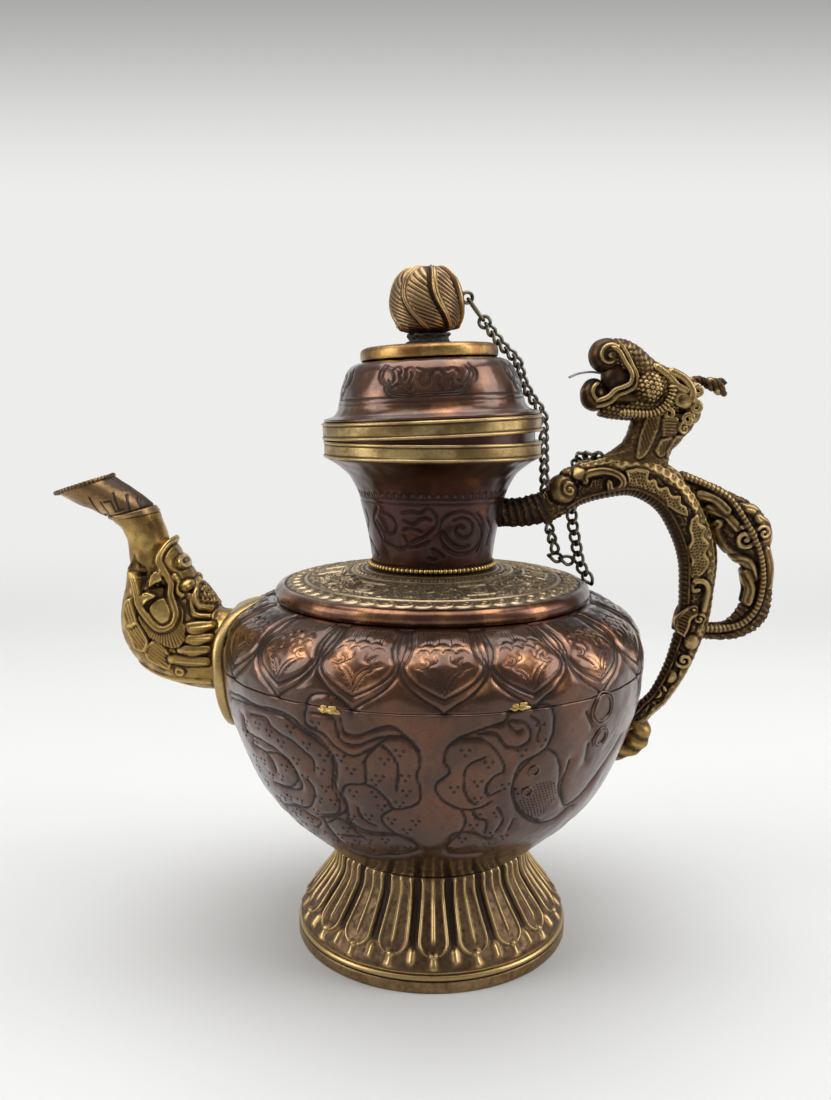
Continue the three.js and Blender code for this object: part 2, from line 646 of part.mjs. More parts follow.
// The makara's head: a hollow casting with wavy lips, an eye and a curled nostril on each side
function spoutHead() {
  const lips = bothSides(lipShares.map(([x, z, y]) => [spoutX(x), spoutZ(z), y * spoutWidth * 0.9]))
    .map((spots) => rod(spots, ribbonRadius * 1.5, 14, 4));
  const eyes = [1, -1].map((side) => ellipsoid(
    [spoutX(0.357), side * spoutWidth * 0.88, spoutZ(0.475)], [eyeballRadius, eyeballRadius, eyeballRadius], 8, 5));
  const nostrils = [1, -1].map((side) => {
    const curl = new THREE.TorusGeometry(eyeballRadius, ribbonRadius, wireSides, 8).rotateX(Math.PI / 2);
    return closed(curl.translate(spoutX(0.425), side * spoutWidth * 0.7, spoutZ(0.608)));
  });
  const outer = unite([skinRows(headRows, throatSides), ...lips, ...eyes, ...nostrils]);
  const longBore = [headRows[0].map((value, i) => (i === 0 || i === 2 ? value + overrun : value)), ...headRows];
  const last = headRows[headRows.length - 1];
  longBore.push([last[0] - overrun, last[1] + overrun, last[2] - overrun, last[3] + overrun, last[4]]);
  const bore = solidOf(skinRows(longBore, 12, -castWall));
  const tubeRoom = solidOf(skinRows(tubeRows, 14, gap));
  return geometryOf(outer.subtract(bore).subtract(tubeRoom).subtract(bodyRoom));
}

// The flange: an oval plate that follows the curve of the belly and takes the throat
function spoutFlange() {
  const [low, high] = [flangeCentre - flangeLow, flangeCentre + flangeHigh];
  const plug = [spoutRoot - overrun * 2, spoutReach].map((x) => [-x, low, -x, high, flangeWide]);
  const face = solidOf(revolve([[0, bowlBase - overrun], ...inset(bowlOutline(12), -flangeProud),
    ...inset(shoulderOutline(6), -flangeProud), [0, shoulderTop + flangeProud]]));
  const throat = solidOf(skinRows(headRows, throatSides, gap));
  return geometryOf(solidOf(skinRows(plug, flangeSides)).intersect(face).subtract(throat).subtract(bodyRoom));
}

place('spout_flange', spoutFlange(), 'brass');
place('spout_head', spoutHead(), 'brass');
place('spout_tube', hollowRows(tubeRows, 14, castWall), 'agedBrass');

// The ferrule flares to a slanted mouth
place('spout_tip', hollowRows(tipRows, 16, tipWall), 'agedBrass');

// Handle: the dragon's body from the neck round to the bowl
const handleX = (share) => neckRadius + share * (handleReach - neckRadius);
const handleZ = (share) => handleLow + share * (handleTop - handleLow);
const handleLine = handleShares.map(([x, z, r]) => [handleX(x), handleZ(z), r * handleGirth]);
const handleRows = sweepRows(handleLine, 23, 0.94);
const handleRoom = solidOf(skinRows(handleRows, handleSides, gap));

function handleBody() {
  return geometryOf(solidOf(skinRows(handleRows, handleSides)).subtract(neckRoom).subtract(bodyRoom));
}

// The tail curls out behind the handle as a leafy plume with a twisted rib
const plumeX = (share) => handleReach + share * plumeReach;
const plumeZ = (share) => handleLow + handleGirth * 4 + share * plumeHigh;
const plumeRows = smoothRows(plumeShares.map((row) => [
  plumeX(row[0]), plumeZ(row[1]), plumeX(row[2]), plumeZ(row[3]), row[4] * plumeWidth]), 13);
const plumeSides = 10;

function tailScroll() {
  const middles = plumeRows.slice(2, -2).filter((_, i) => i % 2 === 0);
  const rib = middles.map(([lowX, lowZ, highX, highZ, half]) => [
    THREE.MathUtils.lerp(lowX, highX, ribShare), THREE.MathUtils.lerp(lowZ, highZ, ribShare), half]);
  const ribs = bothSides(rib).map((spots) => rod(spots, ribbonRadius * 1.1, 10, 4));
  const curls = [1, -1].flatMap((side) => [[0.52, 0.665], [0.74, 0.7]].map(([x, z]) => {
    const curl = new THREE.TorusGeometry(plumeWidth * 0.42, ribbonRadius * 1.2, 4, 8).rotateX(Math.PI / 2);
    return closed(curl.translate(plumeX(x), side * plumeWidth * 0.82, plumeZ(z)));
  }));
  return geometryOf(unite([skinRows(plumeRows, plumeSides), ...ribs, ...curls]).subtract(handleRoom));
}

// Head of the dragon, its places measured from the chin's front
const chinX = handleReach - headLong - handleGirth * 0.55;
const chinZ = handleTop + handleGirth * 2.65;
const headX = (share) => chinX + share * headLong;
const headZ = (share) => chinZ + share * headHigh;
const jawRows = (shares) => smoothRows(shares.map((row) => [
  headX(row[0]), headZ(row[1]), headX(row[2]), headZ(row[3]), row[4] * headWidth]), 6);
const headSpots = (shares) => bothSides(shares.map(([x, z, y]) => [headX(x), headZ(z), y * headWidth * 0.92]));
const ball = (x, z, y, wide, high, deep) => ellipsoid(
  [headX(x), y * headWidth, headZ(z)], [wide * headLong, deep * headWidth, high * headHigh], 8, 5);

const tongueRows = sweepRows([[0.26, 0.53], [0.1, 0.565], [-0.02, 0.545], [-0.1, 0.5]].map(
  ([x, z]) => [headX(x), headZ(z), sheet * 0.45]), 5, 5);
const tuftRows = sweepRows([[0.94, 0.4], [1.04, 0.42], [1.15, 0.38], [1.3, 0.36]].map(
  ([x, z], i) => [headX(x), headZ(z), headWidth * (0.2 + 0.04 * i)]), 9);

function dragonHead() {
  const nape = sweepRows(napeShares.map(([x, z, r]) => [headX(x), headZ(z), r * headLong]), 6, 0.72);
  const parts = [
    skinRows(jawRows(upperJawShares), 12), skinRows(jawRows(lowerJawShares), 12), skinRows(nape, 12),
    ball(0.12, 0.29, 0, 0.12, 0.2, 0.62), ball(0.22, 0.76, 0, 0.155, 0.21, 0.7),
    ball(0.34, 0.5, 0, 0.16, 0.24, 0.6), ball(0.63, 0.34, 0, 0.19, 0.27, 1.08)];
  [1, -1].forEach((side) => {
    parts.push(ball(0.9, 0.22, side * 0.55, 0.09, 0.13, 0.42), ball(0.975, 0.06, side * 0.42, 0.08, 0.12, 0.4));
    parts.push(ball(0.98, 0.34, side * 0.45, 0.07, 0.11, 0.36));
  });
  headSpots(jowlShares).forEach((spots) => parts.push(rod(spots, ribbonRadius, 8, 4)));
  headSpots(ruffShares).forEach((spots) => parts.push(rod(spots, ribbonRadius * 1.3, 5, 4)));
  const whole = unite(parts).subtract(handleRoom).subtract(solidOf(skinRows(plumeRows, plumeSides, gap)));
  const slots = solidOf(skinRows(tongueRows, 6, gap)).add(solidOf(skinRows(tuftRows, 12, gap + budRidge)));
  return geometryOf(whole.subtract(slots));
}

// A tuft of twisted hair: three strands round each other
function dragonTuft() {
  const sides = 12;
  const rings = tuftRows.map((row, step) => {
    const plain = edgeRing(row, sides);
    const centre = middleOf(plain);
    return plain.map((spot, i) => {
      const swell = 1 + 0.16 * Math.cos(3 * ((2 * Math.PI * i) / sides + step * 0.55));
      return spot.sub(centre).multiplyScalar(swell).add(centre);
    });
  });
  return skin(rings, 'capped');
}

place('handle_body', handleBody(), 'bronze');
place('dragon_head', dragonHead(), 'bronze');
place('dragon_tongue', skinRows(tongueRows, 6), 'silver');
place('dragon_tuft', dragonTuft(), 'darkMetal');

// The scroll under the handle's foot, curling back to the bowl
const footScrollShares = [[0.731, -0.02, 0.44], [0.744, -0.065, 0.58], [0.724, -0.115, 0.62],
  [0.673, -0.15, 0.5], [0.6, -0.17, 0.42]];
function handleScrollFoot() {
  const rows = sweepRows(footScrollShares.map(([x, z, r]) => [handleX(x), handleZ(z), r * handleGirth]), 7, 0.95);
  return geometryOf(solidOf(skinRows(rows, 10)).subtract(bodyRoom).subtract(handleRoom));
}

place('tail_scroll', tailScroll(), 'agedBrass');
place('handle_scroll_foot', handleScrollFoot(), 'brass');

// Chain links: an oval wire that twists along its length, so that neighbours cross square
class LinkCurve extends THREE.Curve {
  constructor(halfLength, halfWidth, twist) {
    super();
    Object.assign(this, { halfLength, halfWidth, twist });
  }

  getPoint(share) {
    const turn = 2 * Math.PI * (share + 0.5 / linkSteps);
    const lean = this.twist * Math.cos(turn);
    const side = this.halfWidth * Math.sin(turn) / Math.cos(Math.PI / linkSteps);
    const end = this.halfLength * Math.cos(turn) / Math.cos(Math.PI / linkSteps);
    return new THREE.Vector3(end, side * Math.cos(lean), side * Math.sin(lean));
  }

  // Steps of equal turn, so that a flat step closes each end
  getPointAt(share) {
    return this.getPoint(share);
  }

  getTangentAt(share) {
    return this.getTangent(share);
  }
}

function linkGeometry(halfLength, halfWidth, twist) {
  const centreLine = new LinkCurve(halfLength - wire / 2, halfWidth, twist);
  return closed(new THREE.TubeGeometry(centreLine, linkSteps, wire / 2, linkSides, true));
}

// Sets a link with its length along the route at one spot, rolled about it
function linkAt(geometry, spot, along, normal, roll) {
  const first = normal.clone().applyAxisAngle(along, roll);
  const basis = new THREE.Matrix4().makeBasis(along, first, along.clone().cross(first));
  return geometry.clone().applyMatrix4(basis.setPosition(spot));
}

// Lays touching pairs of links along a route; each pair is one piece with play to the next.
// The first link's near end lies across, square to the ring or staple that holds it.
function layChain(name, route, count, across) {
  const frames = route.computeFrenetFrames(count * 2, false);
  const [along, normal] = [frames.tangents[1], frames.normals[1]];
  const wide = across.clone().addScaledVector(along, -across.dot(along)).applyAxisAngle(along, linkTwist);
  const roll = Math.atan2(along.dot(normal.clone().cross(wide)), normal.dot(wide));
  const pitch = route.getLength() / count;
  const shift = (linkBite + linkPlay) / 4;
  const halfLength = (pitch - 2 * shift + wire + linkPlay + wire) / 2;
  const link = linkGeometry(halfLength, linkHalfWidth, linkTwist);
  const laid = Array.from({ length: count }, (_, i) => {
    const at = 2 * i + 1;
    const spot = route.getPointAt(at / (count * 2)).addScaledVector(frames.tangents[at], i % 2 ? shift : -shift);
    return linkAt(link, spot, frames.tangents[at], frames.normals[at], roll);
  });
  for (let i = 0; i < count; i += 2) {
    const pair = unite(laid.slice(i, i + 2));
    place(`${name}_${String(i / 2 + 1).padStart(2, '0')}`, geometryOf(pair, weld), 'darkMetal');
  }
}

// The finial's eye in the ewer's own frame, with the lid as it lies
cocked.updateMatrix();
function besideLid(radius, height, side) {
  const across = Math.sqrt(radius ** 2 - side ** 2) + lidRadius;
  return new THREE.Vector3(across, side, height).applyMatrix4(cocked.matrix);
}
const eyeWorld = besideLid(eyeCentre.x, eyeCentre.z, 0);
const linkReach = linkHalfWidth + wire / 2;
const hook = wire + gap; // from one wire's middle to that of the wire hooked into it
const startBack = wire / 2 + gap - linkPlay / 2;

// The staple on top of the handle that holds the chain, beside the strand that falls past the lid
const strandStand = linkHalfWidth * 0.8 + wire / 2 + gap;
const hangX = besideLid(lidRadius + strandStand, lidBandHeight, strandSide).x;
const handleCurve = new THREE.CatmullRomCurve3(handleLine.map((row) => new THREE.Vector3(...row)));
const stapleX = hangX + linkReach * stapleAway;
const staplePoint = handleCurve.getPoints(linkSteps ** 3).find((spot) => spot.x > stapleX);
const stapleCentre = new THREE.Vector3(staplePoint.x, 0, staplePoint.y + staplePoint.z + eyeRadius * 0.35);
const stapleFitted = solidOf(wireRing(stapleCentre, eyeRadius)).subtract(handleRoom);
place('handle_eye', geometryOf(stapleFitted), 'agedBrass');

// The long link hangs from the eye, and an open ring joins it to the chain
const fall = new THREE.Vector3(0.6, 0.09, -0.795).normalize();
const crosswise = new THREE.Vector3(0, 1, 0);
const longCentre = eyeWorld.clone().addScaledVector(fall, eyeRadius - hook + longHalf);
const ringCentre = longCentre.clone().addScaledVector(fall, longHalf - hook + ringRadius);
const sideways = crosswise.clone().addScaledVector(fall, -fall.y).normalize();

const longLink = linkGeometry(longHalf + wire / 2, longHalfWidth, 0);
place('chain_long_link', linkAt(longLink, longCentre, fall, sideways, 0), 'darkMetal');
const openRing = linkGeometry(ringRadius + wire / 2, ringRadius, 0);
place('chain_ring', linkAt(openRing, ringCentre, fall, sideways, Math.PI / 2), 'darkMetal');

// The upper strand falls over the cap and dome, past the bands and behind the handle
const upperRoute = new THREE.CatmullRomCurve3([
  ringCentre.clone().addScaledVector(fall, ringRadius - startBack),
  besideLid(capRadius + strandStand, capBase + capHeight * 0.75, strandSide * 0.3),
  besideLid(domeRadius * 0.93 + strandStand, domeBase + domeHeight * 0.86, strandSide * 0.5),
  besideLid(domeRadius + strandStand, domeBase + domeHeight * 0.45, strandSide * 0.8),
  besideLid(lidRadius + strandStand * 1.05, lidBandHeight * 1.15, strandSide),
  new THREE.Vector3(hangX + wire * 1.2, strandSide, mouthBase),
  new THREE.Vector3(hangX + wire * 2.5, strandSide, neckBase + neckHeight * 0.4),
  new THREE.Vector3(hangX + linkReach * 2.725, strandSide, neckBase + linkReach * 1.6),
]);
layChain('chain_upper', upperRoute, upperLinks, crosswise);

// The lower strand leaves the staple, goes over the handle's back and hangs down to the collar
const over = handleGirth + strandStand;
const lowerX = stapleCentre.x - linkReach * 3.3;
const stapleWay = new THREE.Vector3(-0.93, 0, 0.36).normalize();
const lowerRoute = new THREE.CatmullRomCurve3([
  stapleCentre.clone().addScaledVector(stapleWay, eyeRadius - startBack),
  new THREE.Vector3(lowerX + wire * 2.6, over * 0.28, handleTop + over * 0.72),
  new THREE.Vector3(lowerX + wire * 0.6, over * 0.72, handleTop + over * 0.3),
  new THREE.Vector3(lowerX, over, handleTop - over * 0.45),
  new THREE.Vector3(lowerX, strandSide, handleTop - handleGirth * 2),
  new THREE.Vector3(lowerX + wire * 2, strandSide, neckBase + linkReach * 2.5),
  new THREE.Vector3(collarRadius * 0.99, strandSide, collarTop + linkReach * 1.1),
  new THREE.Vector3(collarRadius * 1.05, strandSide, collarBase + linkReach * 1.1),
]);
layChain('chain_lower', lowerRoute, lowerLinks, crosswise);

// A last pair lies on the disc and closes the loop between the two strands
const strandEnd = upperRoute.getPoint(1);
const loopRoute = new THREE.CatmullRomCurve3([
  new THREE.Vector3(strandEnd.x - wire, strandSide, strandEnd.z - linkReach * 1.35),
  new THREE.Vector3(lowerX - linkReach * 0.12, strandSide, strandEnd.z - linkReach * 1.75)]);
layChain('chain_loop', loopRoute, loopLinks, crosswise);

export default group;
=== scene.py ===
# Looks of a Tibetan ewer: hammered copper vessel, cast brass makara spout, dragon handle and curb chain.
# Sizes are millimetres from the vessel's own axis; meshes are written in metres in the frame.
import math

import bpy
import numpy as np
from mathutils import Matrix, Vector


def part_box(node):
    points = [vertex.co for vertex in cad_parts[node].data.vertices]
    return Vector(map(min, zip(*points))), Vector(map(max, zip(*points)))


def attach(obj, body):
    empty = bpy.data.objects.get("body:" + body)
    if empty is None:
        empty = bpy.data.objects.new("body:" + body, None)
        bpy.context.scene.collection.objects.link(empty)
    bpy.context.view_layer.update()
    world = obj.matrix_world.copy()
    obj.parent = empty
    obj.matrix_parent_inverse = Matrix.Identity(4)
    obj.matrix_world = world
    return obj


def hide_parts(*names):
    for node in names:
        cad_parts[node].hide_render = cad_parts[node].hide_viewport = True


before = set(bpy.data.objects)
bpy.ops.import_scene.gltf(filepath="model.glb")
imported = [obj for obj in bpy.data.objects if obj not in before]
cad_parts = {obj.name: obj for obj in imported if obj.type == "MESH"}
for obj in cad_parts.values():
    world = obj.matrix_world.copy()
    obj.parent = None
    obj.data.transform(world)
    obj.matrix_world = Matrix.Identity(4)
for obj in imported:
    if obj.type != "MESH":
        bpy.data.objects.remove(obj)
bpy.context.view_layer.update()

millimetre = 0.001
bowlLow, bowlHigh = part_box("body_bowl")
axisPlace = np.array([(bowlLow[0] + bowlHigh[0]) / 2, 0, 0])


# Lines and surfaces

# Angles of a full turn in equal steps
def fullTurn(count):
    return np.arange(count) * 2 * np.pi / count


# Spots at a radius from the vessel's axis: x is the radius by the sine of the angle, y less it by the cosine
def aboutAxis(radius, angle, height):
    return np.stack([radius * np.sin(angle), -radius * np.cos(angle), height + angle * 0], -1)


# Catmull-Rom line through the rows of points, the same number of steps in each span
def smoothLine(points, count):
    rows = np.asarray(points, float)
    ends = np.vstack([2 * rows[0] - rows[1], rows, 2 * rows[-1] - rows[-2]])
    at = np.linspace(0, len(rows) - 1, count)
    span = np.minimum(at.astype(int), len(rows) - 2)
    share = (at - span)[:, None]
    a, b, c, d = ends[span], ends[span + 1], ends[span + 2], ends[span + 3]
    return 0.5 * (2 * b + (c - a) * share + (2 * a - 5 * b + 4 * c - d) * share**2
                  + (3 * b - a - 3 * c + d) * share**3)


# Running sum of a line's steps
def lengthsAlong(rows):
    steps = np.linalg.norm(np.diff(rows, axis=0), axis=1)
    return np.concatenate([[0], np.cumsum(steps)])


# Rows read off at equal steps of the lengths that belong to them
def atEqualSteps(rows, along, count):
    at = np.linspace(0, along[-1], count)
    return np.stack([np.interp(at, along, rows[:, i]) for i in range(rows.shape[1])], 1)


# A smooth line with points at equal distances, measured in its first axes
def evenLine(points, count, dense=None, axes=3):
    rows = smoothLine(points, dense or 12 * len(points))
    return atEqualSteps(rows, lengthsAlong(rows[:, :axes]), count)


# Distance of 2-D spots from a line, and how far along it the nearest point lies.
# The line's first coordinate is stretched, as by the radius where it is an angle
def lineDistance(across, up, line, stretch=1.0):
    line = np.asarray(line, float)
    best = np.full(across.shape, 1e3)
    along = np.zeros(across.shape)
    travelled = 0.0
    for (x0, y0), (x1, y1) in zip(line[:-1], line[1:]):
        fromX, dx, dy = x0 * stretch, (x1 - x0) * stretch, y1 - y0
        square = np.maximum(dx * dx + dy * dy, 1e-9)
        share = np.clip(((across - fromX) * dx + (up - y0) * dy) / square, 0, 1)
        away = np.hypot(across - fromX - share * dx, up - y0 - share * dy)
        nearer = away < best
        best = np.where(nearer, away, best)
        along = np.where(nearer, travelled + share * np.sqrt(square), along)
        travelled = travelled + np.sqrt(square)
    return best, along


# The share squared, by three less twice the share
def smoothStep(low, high, value):
    share = np.clip((value - low) / (high - low), 0, 1)
    return share * share * (3 - 2 * share)


# A rounded ridge: one at its middle line, nothing beyond its width
def ridge(away, width):
    share = np.clip(away / width, 0, 1)
    return np.sqrt(np.clip(1 - share * share, 0, 1))


# A bell: e to less the square of distance over width
def bump(away, width):
    return np.exp(-(away / width) ** 2)


# Seeded sum of sine waves in all directions, about one in height
def ripple(spots, size, seed, waves=14):
    source = np.random.default_rng(seed)
    ways = source.normal(size=(waves, 3))
    ways /= np.linalg.norm(ways, axis=1)[:, None]
    speeds = 2 * np.pi / size * source.uniform(0.7, 1.4, waves)
    phases = source.uniform(0, 2 * np.pi, waves)
    total = np.zeros(spots.shape[:-1])
    for way, speed, phase in zip(ways, speeds, phases):
        total += np.sin((spots @ way) * speed + phase)
    return total * 1.4 / math.sqrt(waves)


# Unit normals of a grid of spots by differences along its rows and columns
def gridNormals(spots):
    rows = np.gradient(spots, axis=0)
    columns = np.roll(spots, -1, 1) - np.roll(spots, 1, 1)
    normal = np.cross(columns, rows)
    return normal / np.maximum(np.linalg.norm(normal, axis=2), 1e-9)[..., None]


# Moves a grid of spots out along its normals by the heights
def raised(spots, heights):
    normal = gridNormals(spots)
    if (normal * (spots - spots.mean(1, keepdims=True))).sum() < 0:
        normal = -normal
    return spots + normal * np.asarray(heights)[..., None]


# Lines drawn in the side view: flat lists of x, z
def sideLine(flat, steps=6):
    rows = np.asarray(flat, float).reshape(-1, 2)
    return smoothLine(rows, steps * (len(rows) - 1) + 1)


# Distance from a closed outline, less than nothing inside it
def outlineAway(x, z, outline):
    closed = np.vstack([outline, outline[:1]])
    away = lineDistance(x, z, closed)[0]
    inside = np.zeros(x.shape, bool)
    for (x0, z0), (x1, z1) in zip(closed[:-1], closed[1:]):
        if z0 != z1:
            inside ^= ((z0 > z) != (z1 > z)) & (x < (x1 - x0) * (z - z0) / (z1 - z0) + x0)
    return np.where(inside, -away, away)


# Rows of overlapping scales, each rising from under the one before it to its rounded rim
def scales(u, v, size):
    height = np.zeros(u.shape)
    for step in (2, 1, 0, -1):
        row = np.floor(v / size) + step
        across = u / size - 0.5 * (row % 2)
        away = np.hypot((across - np.round(across)) * size, v - row * size) / (0.78 * size)
        rim = (0.45 + 0.55 * away) * smoothStep(1, 0.86, away)
        height = np.where(away < 1, rim, height)
    return height


# Small rounded beads in staggered rows
def pearls(u, v, size):
    row = np.round(v / (0.87 * size))
    across = u / size - 0.5 * (row % 2)
    away = np.hypot((across - np.round(across)) * size, v - row * 0.87 * size)
    return ridge(away, 0.52 * size)


# Punched dots with some jitter
def dots(u, v, size):
    u, v = u + 0.3 * np.sin(v * 2.3 / size + u), v + 0.3 * np.sin(u * 1.9 / size)
    row = np.round(v / size)
    across = u / size - 0.5 * (row % 2)
    return bump(np.hypot((across - np.round(across)) * size, v - row * size), 0.27 * size)


# Vein-like ridges of cast scrollwork, nothing to one
def scrollwork(spots, size, seed):
    warp = spots + 0.3 * size * np.stack([ripple(spots, 2 * size, seed + i) for i in (1, 2, 3)], -1)
    return (1 - np.clip(np.abs(ripple(warp, size, seed)) * 1.6, 0, 1)) ** 1.3


# Height and wear of a surface from two drawn coordinates, the wear also carrying painted shade where it is
# given some; each form covers those laid before it
class Relief:
    def __init__(self, x, z):
        self.x, self.z = np.broadcast_arrays(x, z)
        self.height, self.wearAndShade = np.zeros(self.x.shape), np.zeros(self.x.shape)

    # A new top inside an outline, with a groove round it
    def lay(self, away, top, shade=0.3, groove=0.6, soft=0.25):
        within = smoothStep(soft, -soft, away)
        rim = groove * bump(away - 0.5, 0.55) * (1 - within)
        self.height = self.height * (1 - within) + top * within - 0.7 * rim
        self.wearAndShade = self.wearAndShade * (1 - within) + shade * within - 1.3 * rim

    # A rounded band along a line, with a middle line or strokes across it
    def band(self, flat, half, high, middle=0.0, hatch=0.0, groove=0.6, taper=0.0):
        away, along = lineDistance(self.x, self.z, sideLine(flat))
        if taper:
            share = along / lengthsAlong(sideLine(flat))[-1]
            half = half * (1 - taper + taper * np.sin(np.pi * np.clip(share, 0, 1)))
        line = middle * bump(away, 0.25 * half)
        strokes = 0.5 + 0.5 * np.sin(2 * np.pi * along / hatch) if hatch else 0
        top = high * ridge(away, 1.12 * half) - 0.6 * line - 0.35 * strokes
        self.lay(away - half, top, 1.1 * ridge(away, half) - 0.35 - 1.5 * line - 0.8 * strokes, groove)

    # A flat leaf with a raised rim, hatched by a sine wave across its lean
    def plate(self, flat, high, hatch=0.0, lean=0.0, rim=0.5, shade=0.25):
        away = outlineAway(self.x, self.z, sideLine(flat, 5))
        strokes = 0
        if hatch:
            across = self.x * math.cos(lean) + self.z * math.sin(lean)
            strokes = (0.5 + 0.5 * np.sin(2 * np.pi * across / hatch)) * smoothStep(-0.9, -1.5, away)
        edge = rim * bump(away + 0.7, 0.45)
        self.lay(away, high + edge - 0.35 * strokes, shade + 0.9 * edge - 0.9 * strokes)
        return away

    # A dome: the root of one less the square of distance over radius
    def ball(self, x, z, radius, high, groove=0.6):
        away = np.hypot(self.x - x, self.z - z)
        self.lay(away - radius, high * ridge(away, 1.04 * radius), 0.9 * ridge(away, radius) - 0.2, groove)

    # A rounded ring: distances count from its circle
    def ring(self, x, z, radius, half, high, groove=0.6):
        away = np.abs(np.hypot(self.x - x, self.z - z) - radius)
        self.lay(away - half, high * ridge(away, 1.1 * half), 1.1 * ridge(away, half) - 0.3, groove)

    # A scroll of the given turns that winds in from its outer end
    def spiral(self, x, z, radius, turns, start, half, high, way=1):
        at = np.linspace(0, 1, 26)
        turn = start + way * at * turns * 2 * np.pi
        reach = radius * (1 - 0.86 * at)
        line = np.stack([x + reach * np.cos(turn), z + reach * np.sin(turn)], 1)
        away = lineDistance(self.x, self.z, line)[0]
        self.lay(away - half, high * ridge(away, 1.12 * half), 1.1 * ridge(away, half) - 0.3)

    # Added to all that is laid so far
    def add(self, height, wearAndShade):
        self.height, self.wearAndShade = self.height + height, self.wearAndShade + wearAndShade


# Collects grids into one mesh. Its wear value is -1 in hollows and 1 on rubbed ridges, and is lowered in a
# few places as painted shade
class Shape:
    def __init__(self):
        self.spots, self.quads, self.triangles, self.wearAndShade, self.count = [], [], [], [], 0

    # Keeps one grid's points, with a wear for each
    def addSpots(self, spots, wearAndShade):
        flat = spots.reshape(-1, 3)
        self.spots.append(flat)
        self.wearAndShade.append(np.broadcast_to(wearAndShade, spots.shape[:-1]).reshape(-1))
        self.count += len(flat)

    # Rows of spots whose columns close on themselves; over: the rows do too; capped: fans close both ends
    def grid(self, spots, wearAndShade=0.0, over=False, capped=False):
        rows, columns = spots.shape[:2]
        first = self.count
        i = np.arange(rows if over else rows - 1)[:, None]
        j = np.arange(columns)[None, :]
        nextRow, nextColumn = (i + 1) % rows, (j + 1) % columns
        corners = [i * columns + j, i * columns + nextColumn, nextRow * columns + nextColumn,
                   nextRow * columns + j]
        quads = np.stack(np.broadcast_arrays(*corners), -1).reshape(-1, 4) + first
        self.addSpots(spots, wearAndShade)
        triangles = np.zeros((0, 3), int)
        if capped:
            ends = np.stack([spots[0].mean(0), spots[-1].mean(0)])
            ring = np.arange(columns)
            after = (ring + 1) % columns
            low = np.stack([first + after, first + ring, np.full(columns, self.count)], 1)
            last = first + (rows - 1) * columns
            high = np.stack([last + ring, last + after, np.full(columns, self.count + 1)], 1)
            self.addSpots(ends, 0.0)
            triangles = np.vstack([low, high])
        own = np.vstack(self.spots[-2:] if capped else self.spots[-1:])
        if signedVolume(own, quads - first, triangles - first) < 0:
            quads, triangles = quads[:, ::-1], triangles[:, ::-1]
        self.quads.append(quads)
        self.triangles.append(triangles)
        return self

    # Writes all grids as one mesh in the frame
    def piece(self, name, body, slot, look, *nodes):
        mesh = bpy.data.meshes.new(name)
        spots = np.vstack(self.spots) * millimetre + axisPlace
        quads, triangles = np.vstack(self.quads), np.vstack(self.triangles)
        mesh.vertices.add(len(spots))
        mesh.vertices.foreach_set("co", spots.astype(np.float32).ravel())
        loops = np.concatenate([quads.ravel(), triangles.ravel()])
        mesh.loops.add(len(loops))
        mesh.loops.foreach_set("vertex_index", loops.astype(np.int32))
        starts = np.concatenate([np.arange(len(quads)) * 4, len(quads) * 4 + np.arange(len(triangles)) * 3])
        mesh.polygons.add(len(starts))
        mesh.polygons.foreach_set("loop_start", starts.astype(np.int32))
        mesh.polygons.foreach_set("use_smooth", np.ones(len(starts), bool))
        mesh.update(calc_edges=True)
        mesh.validate()
        wearAndShade = mesh.attributes.new("wearAndShade", "FLOAT", "POINT")
        wearAndShade.data.foreach_set("value", np.concatenate(self.wearAndShade).astype(np.float32))
        made = bpy.data.objects.new(name, mesh)
        bpy.context.scene.collection.objects.link(made)
        mesh.materials.append(finishes[look])
        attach(made, body)
        if nodes:
            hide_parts(*nodes)
        print(name, len(quads) * 2 + len(triangles), "triangles")
        return made


# Sum of the triangles' triple products; its sign tells which way they face
def signedVolume(spots, quads, triangles):
    faces = np.vstack([quads[:, [0, 1, 2]], quads[:, [0, 2, 3]], triangles])
    a, b, c = spots[faces[:, 0]], spots[faces[:, 1]], spots[faces[:, 2]]
    return np.einsum("ij,ij->i", a, np.cross(b, c)).sum()


# Rows of shares as [radius, height] points at equal distances
def outlineOf(shares, low, high, base, rise, count):
    rows = [[low + r * (high - low), base + z * rise] for r, z in shares]
    return evenLine(rows, count)


# Outward direction at each point of a [radius, height] outline that runs upwards
def outlineNormals(outline):
    along = np.gradient(outline, axis=0)
    normal = np.stack([along[:, 1], -along[:, 0]], 1)
    return normal / np.linalg.norm(normal, axis=1)[:, None]


# Turns an outline about the axis; heights (rows, columns) move it along its normals
def turned(outline, columns, heights=0.0):
    angle = fullTurn(columns)
    normal = outlineNormals(outline)
    radius = outline[:, :1] + normal[:, :1] * heights + angle * 0
    height = outline[:, 1:] + normal[:, 1:] * heights + angle * 0
    return aboutAxis(radius, angle, height)


# The inner side of a wall, from the top of the outline back down
def innerWall(outline, wall, columns, step):
    normal = outlineNormals(outline)
    inner = (outline - normal * wall)[::-step]
    return turned(inner, columns)


# An outer wall and an inner one as one grid, the inner one in a single shade
def walled(outer, wearAndShade, inner, shade=-0.5):
    return np.concatenate([outer, inner]), np.concatenate([wearAndShade, np.full(inner.shape[:2], shade)])


# Sections between two edges in the middle plane: rows are low x, low z, high x, high z, half width
def edgeRings(rows, columns):
    rows = np.asarray(rows, float)
    turn = fullTurn(columns)
    middle = (rows[:, 0:2] + rows[:, 2:4]) / 2
    reach = (rows[:, 2:4] - rows[:, 0:2]) / 2
    x = middle[:, :1] + reach[:, :1] * np.cos(turn)
    z = middle[:, 1:] + reach[:, 1:] * np.cos(turn)
    y = rows[:, 4:5] * np.sin(turn)
    return np.stack([x, y, z], 2)


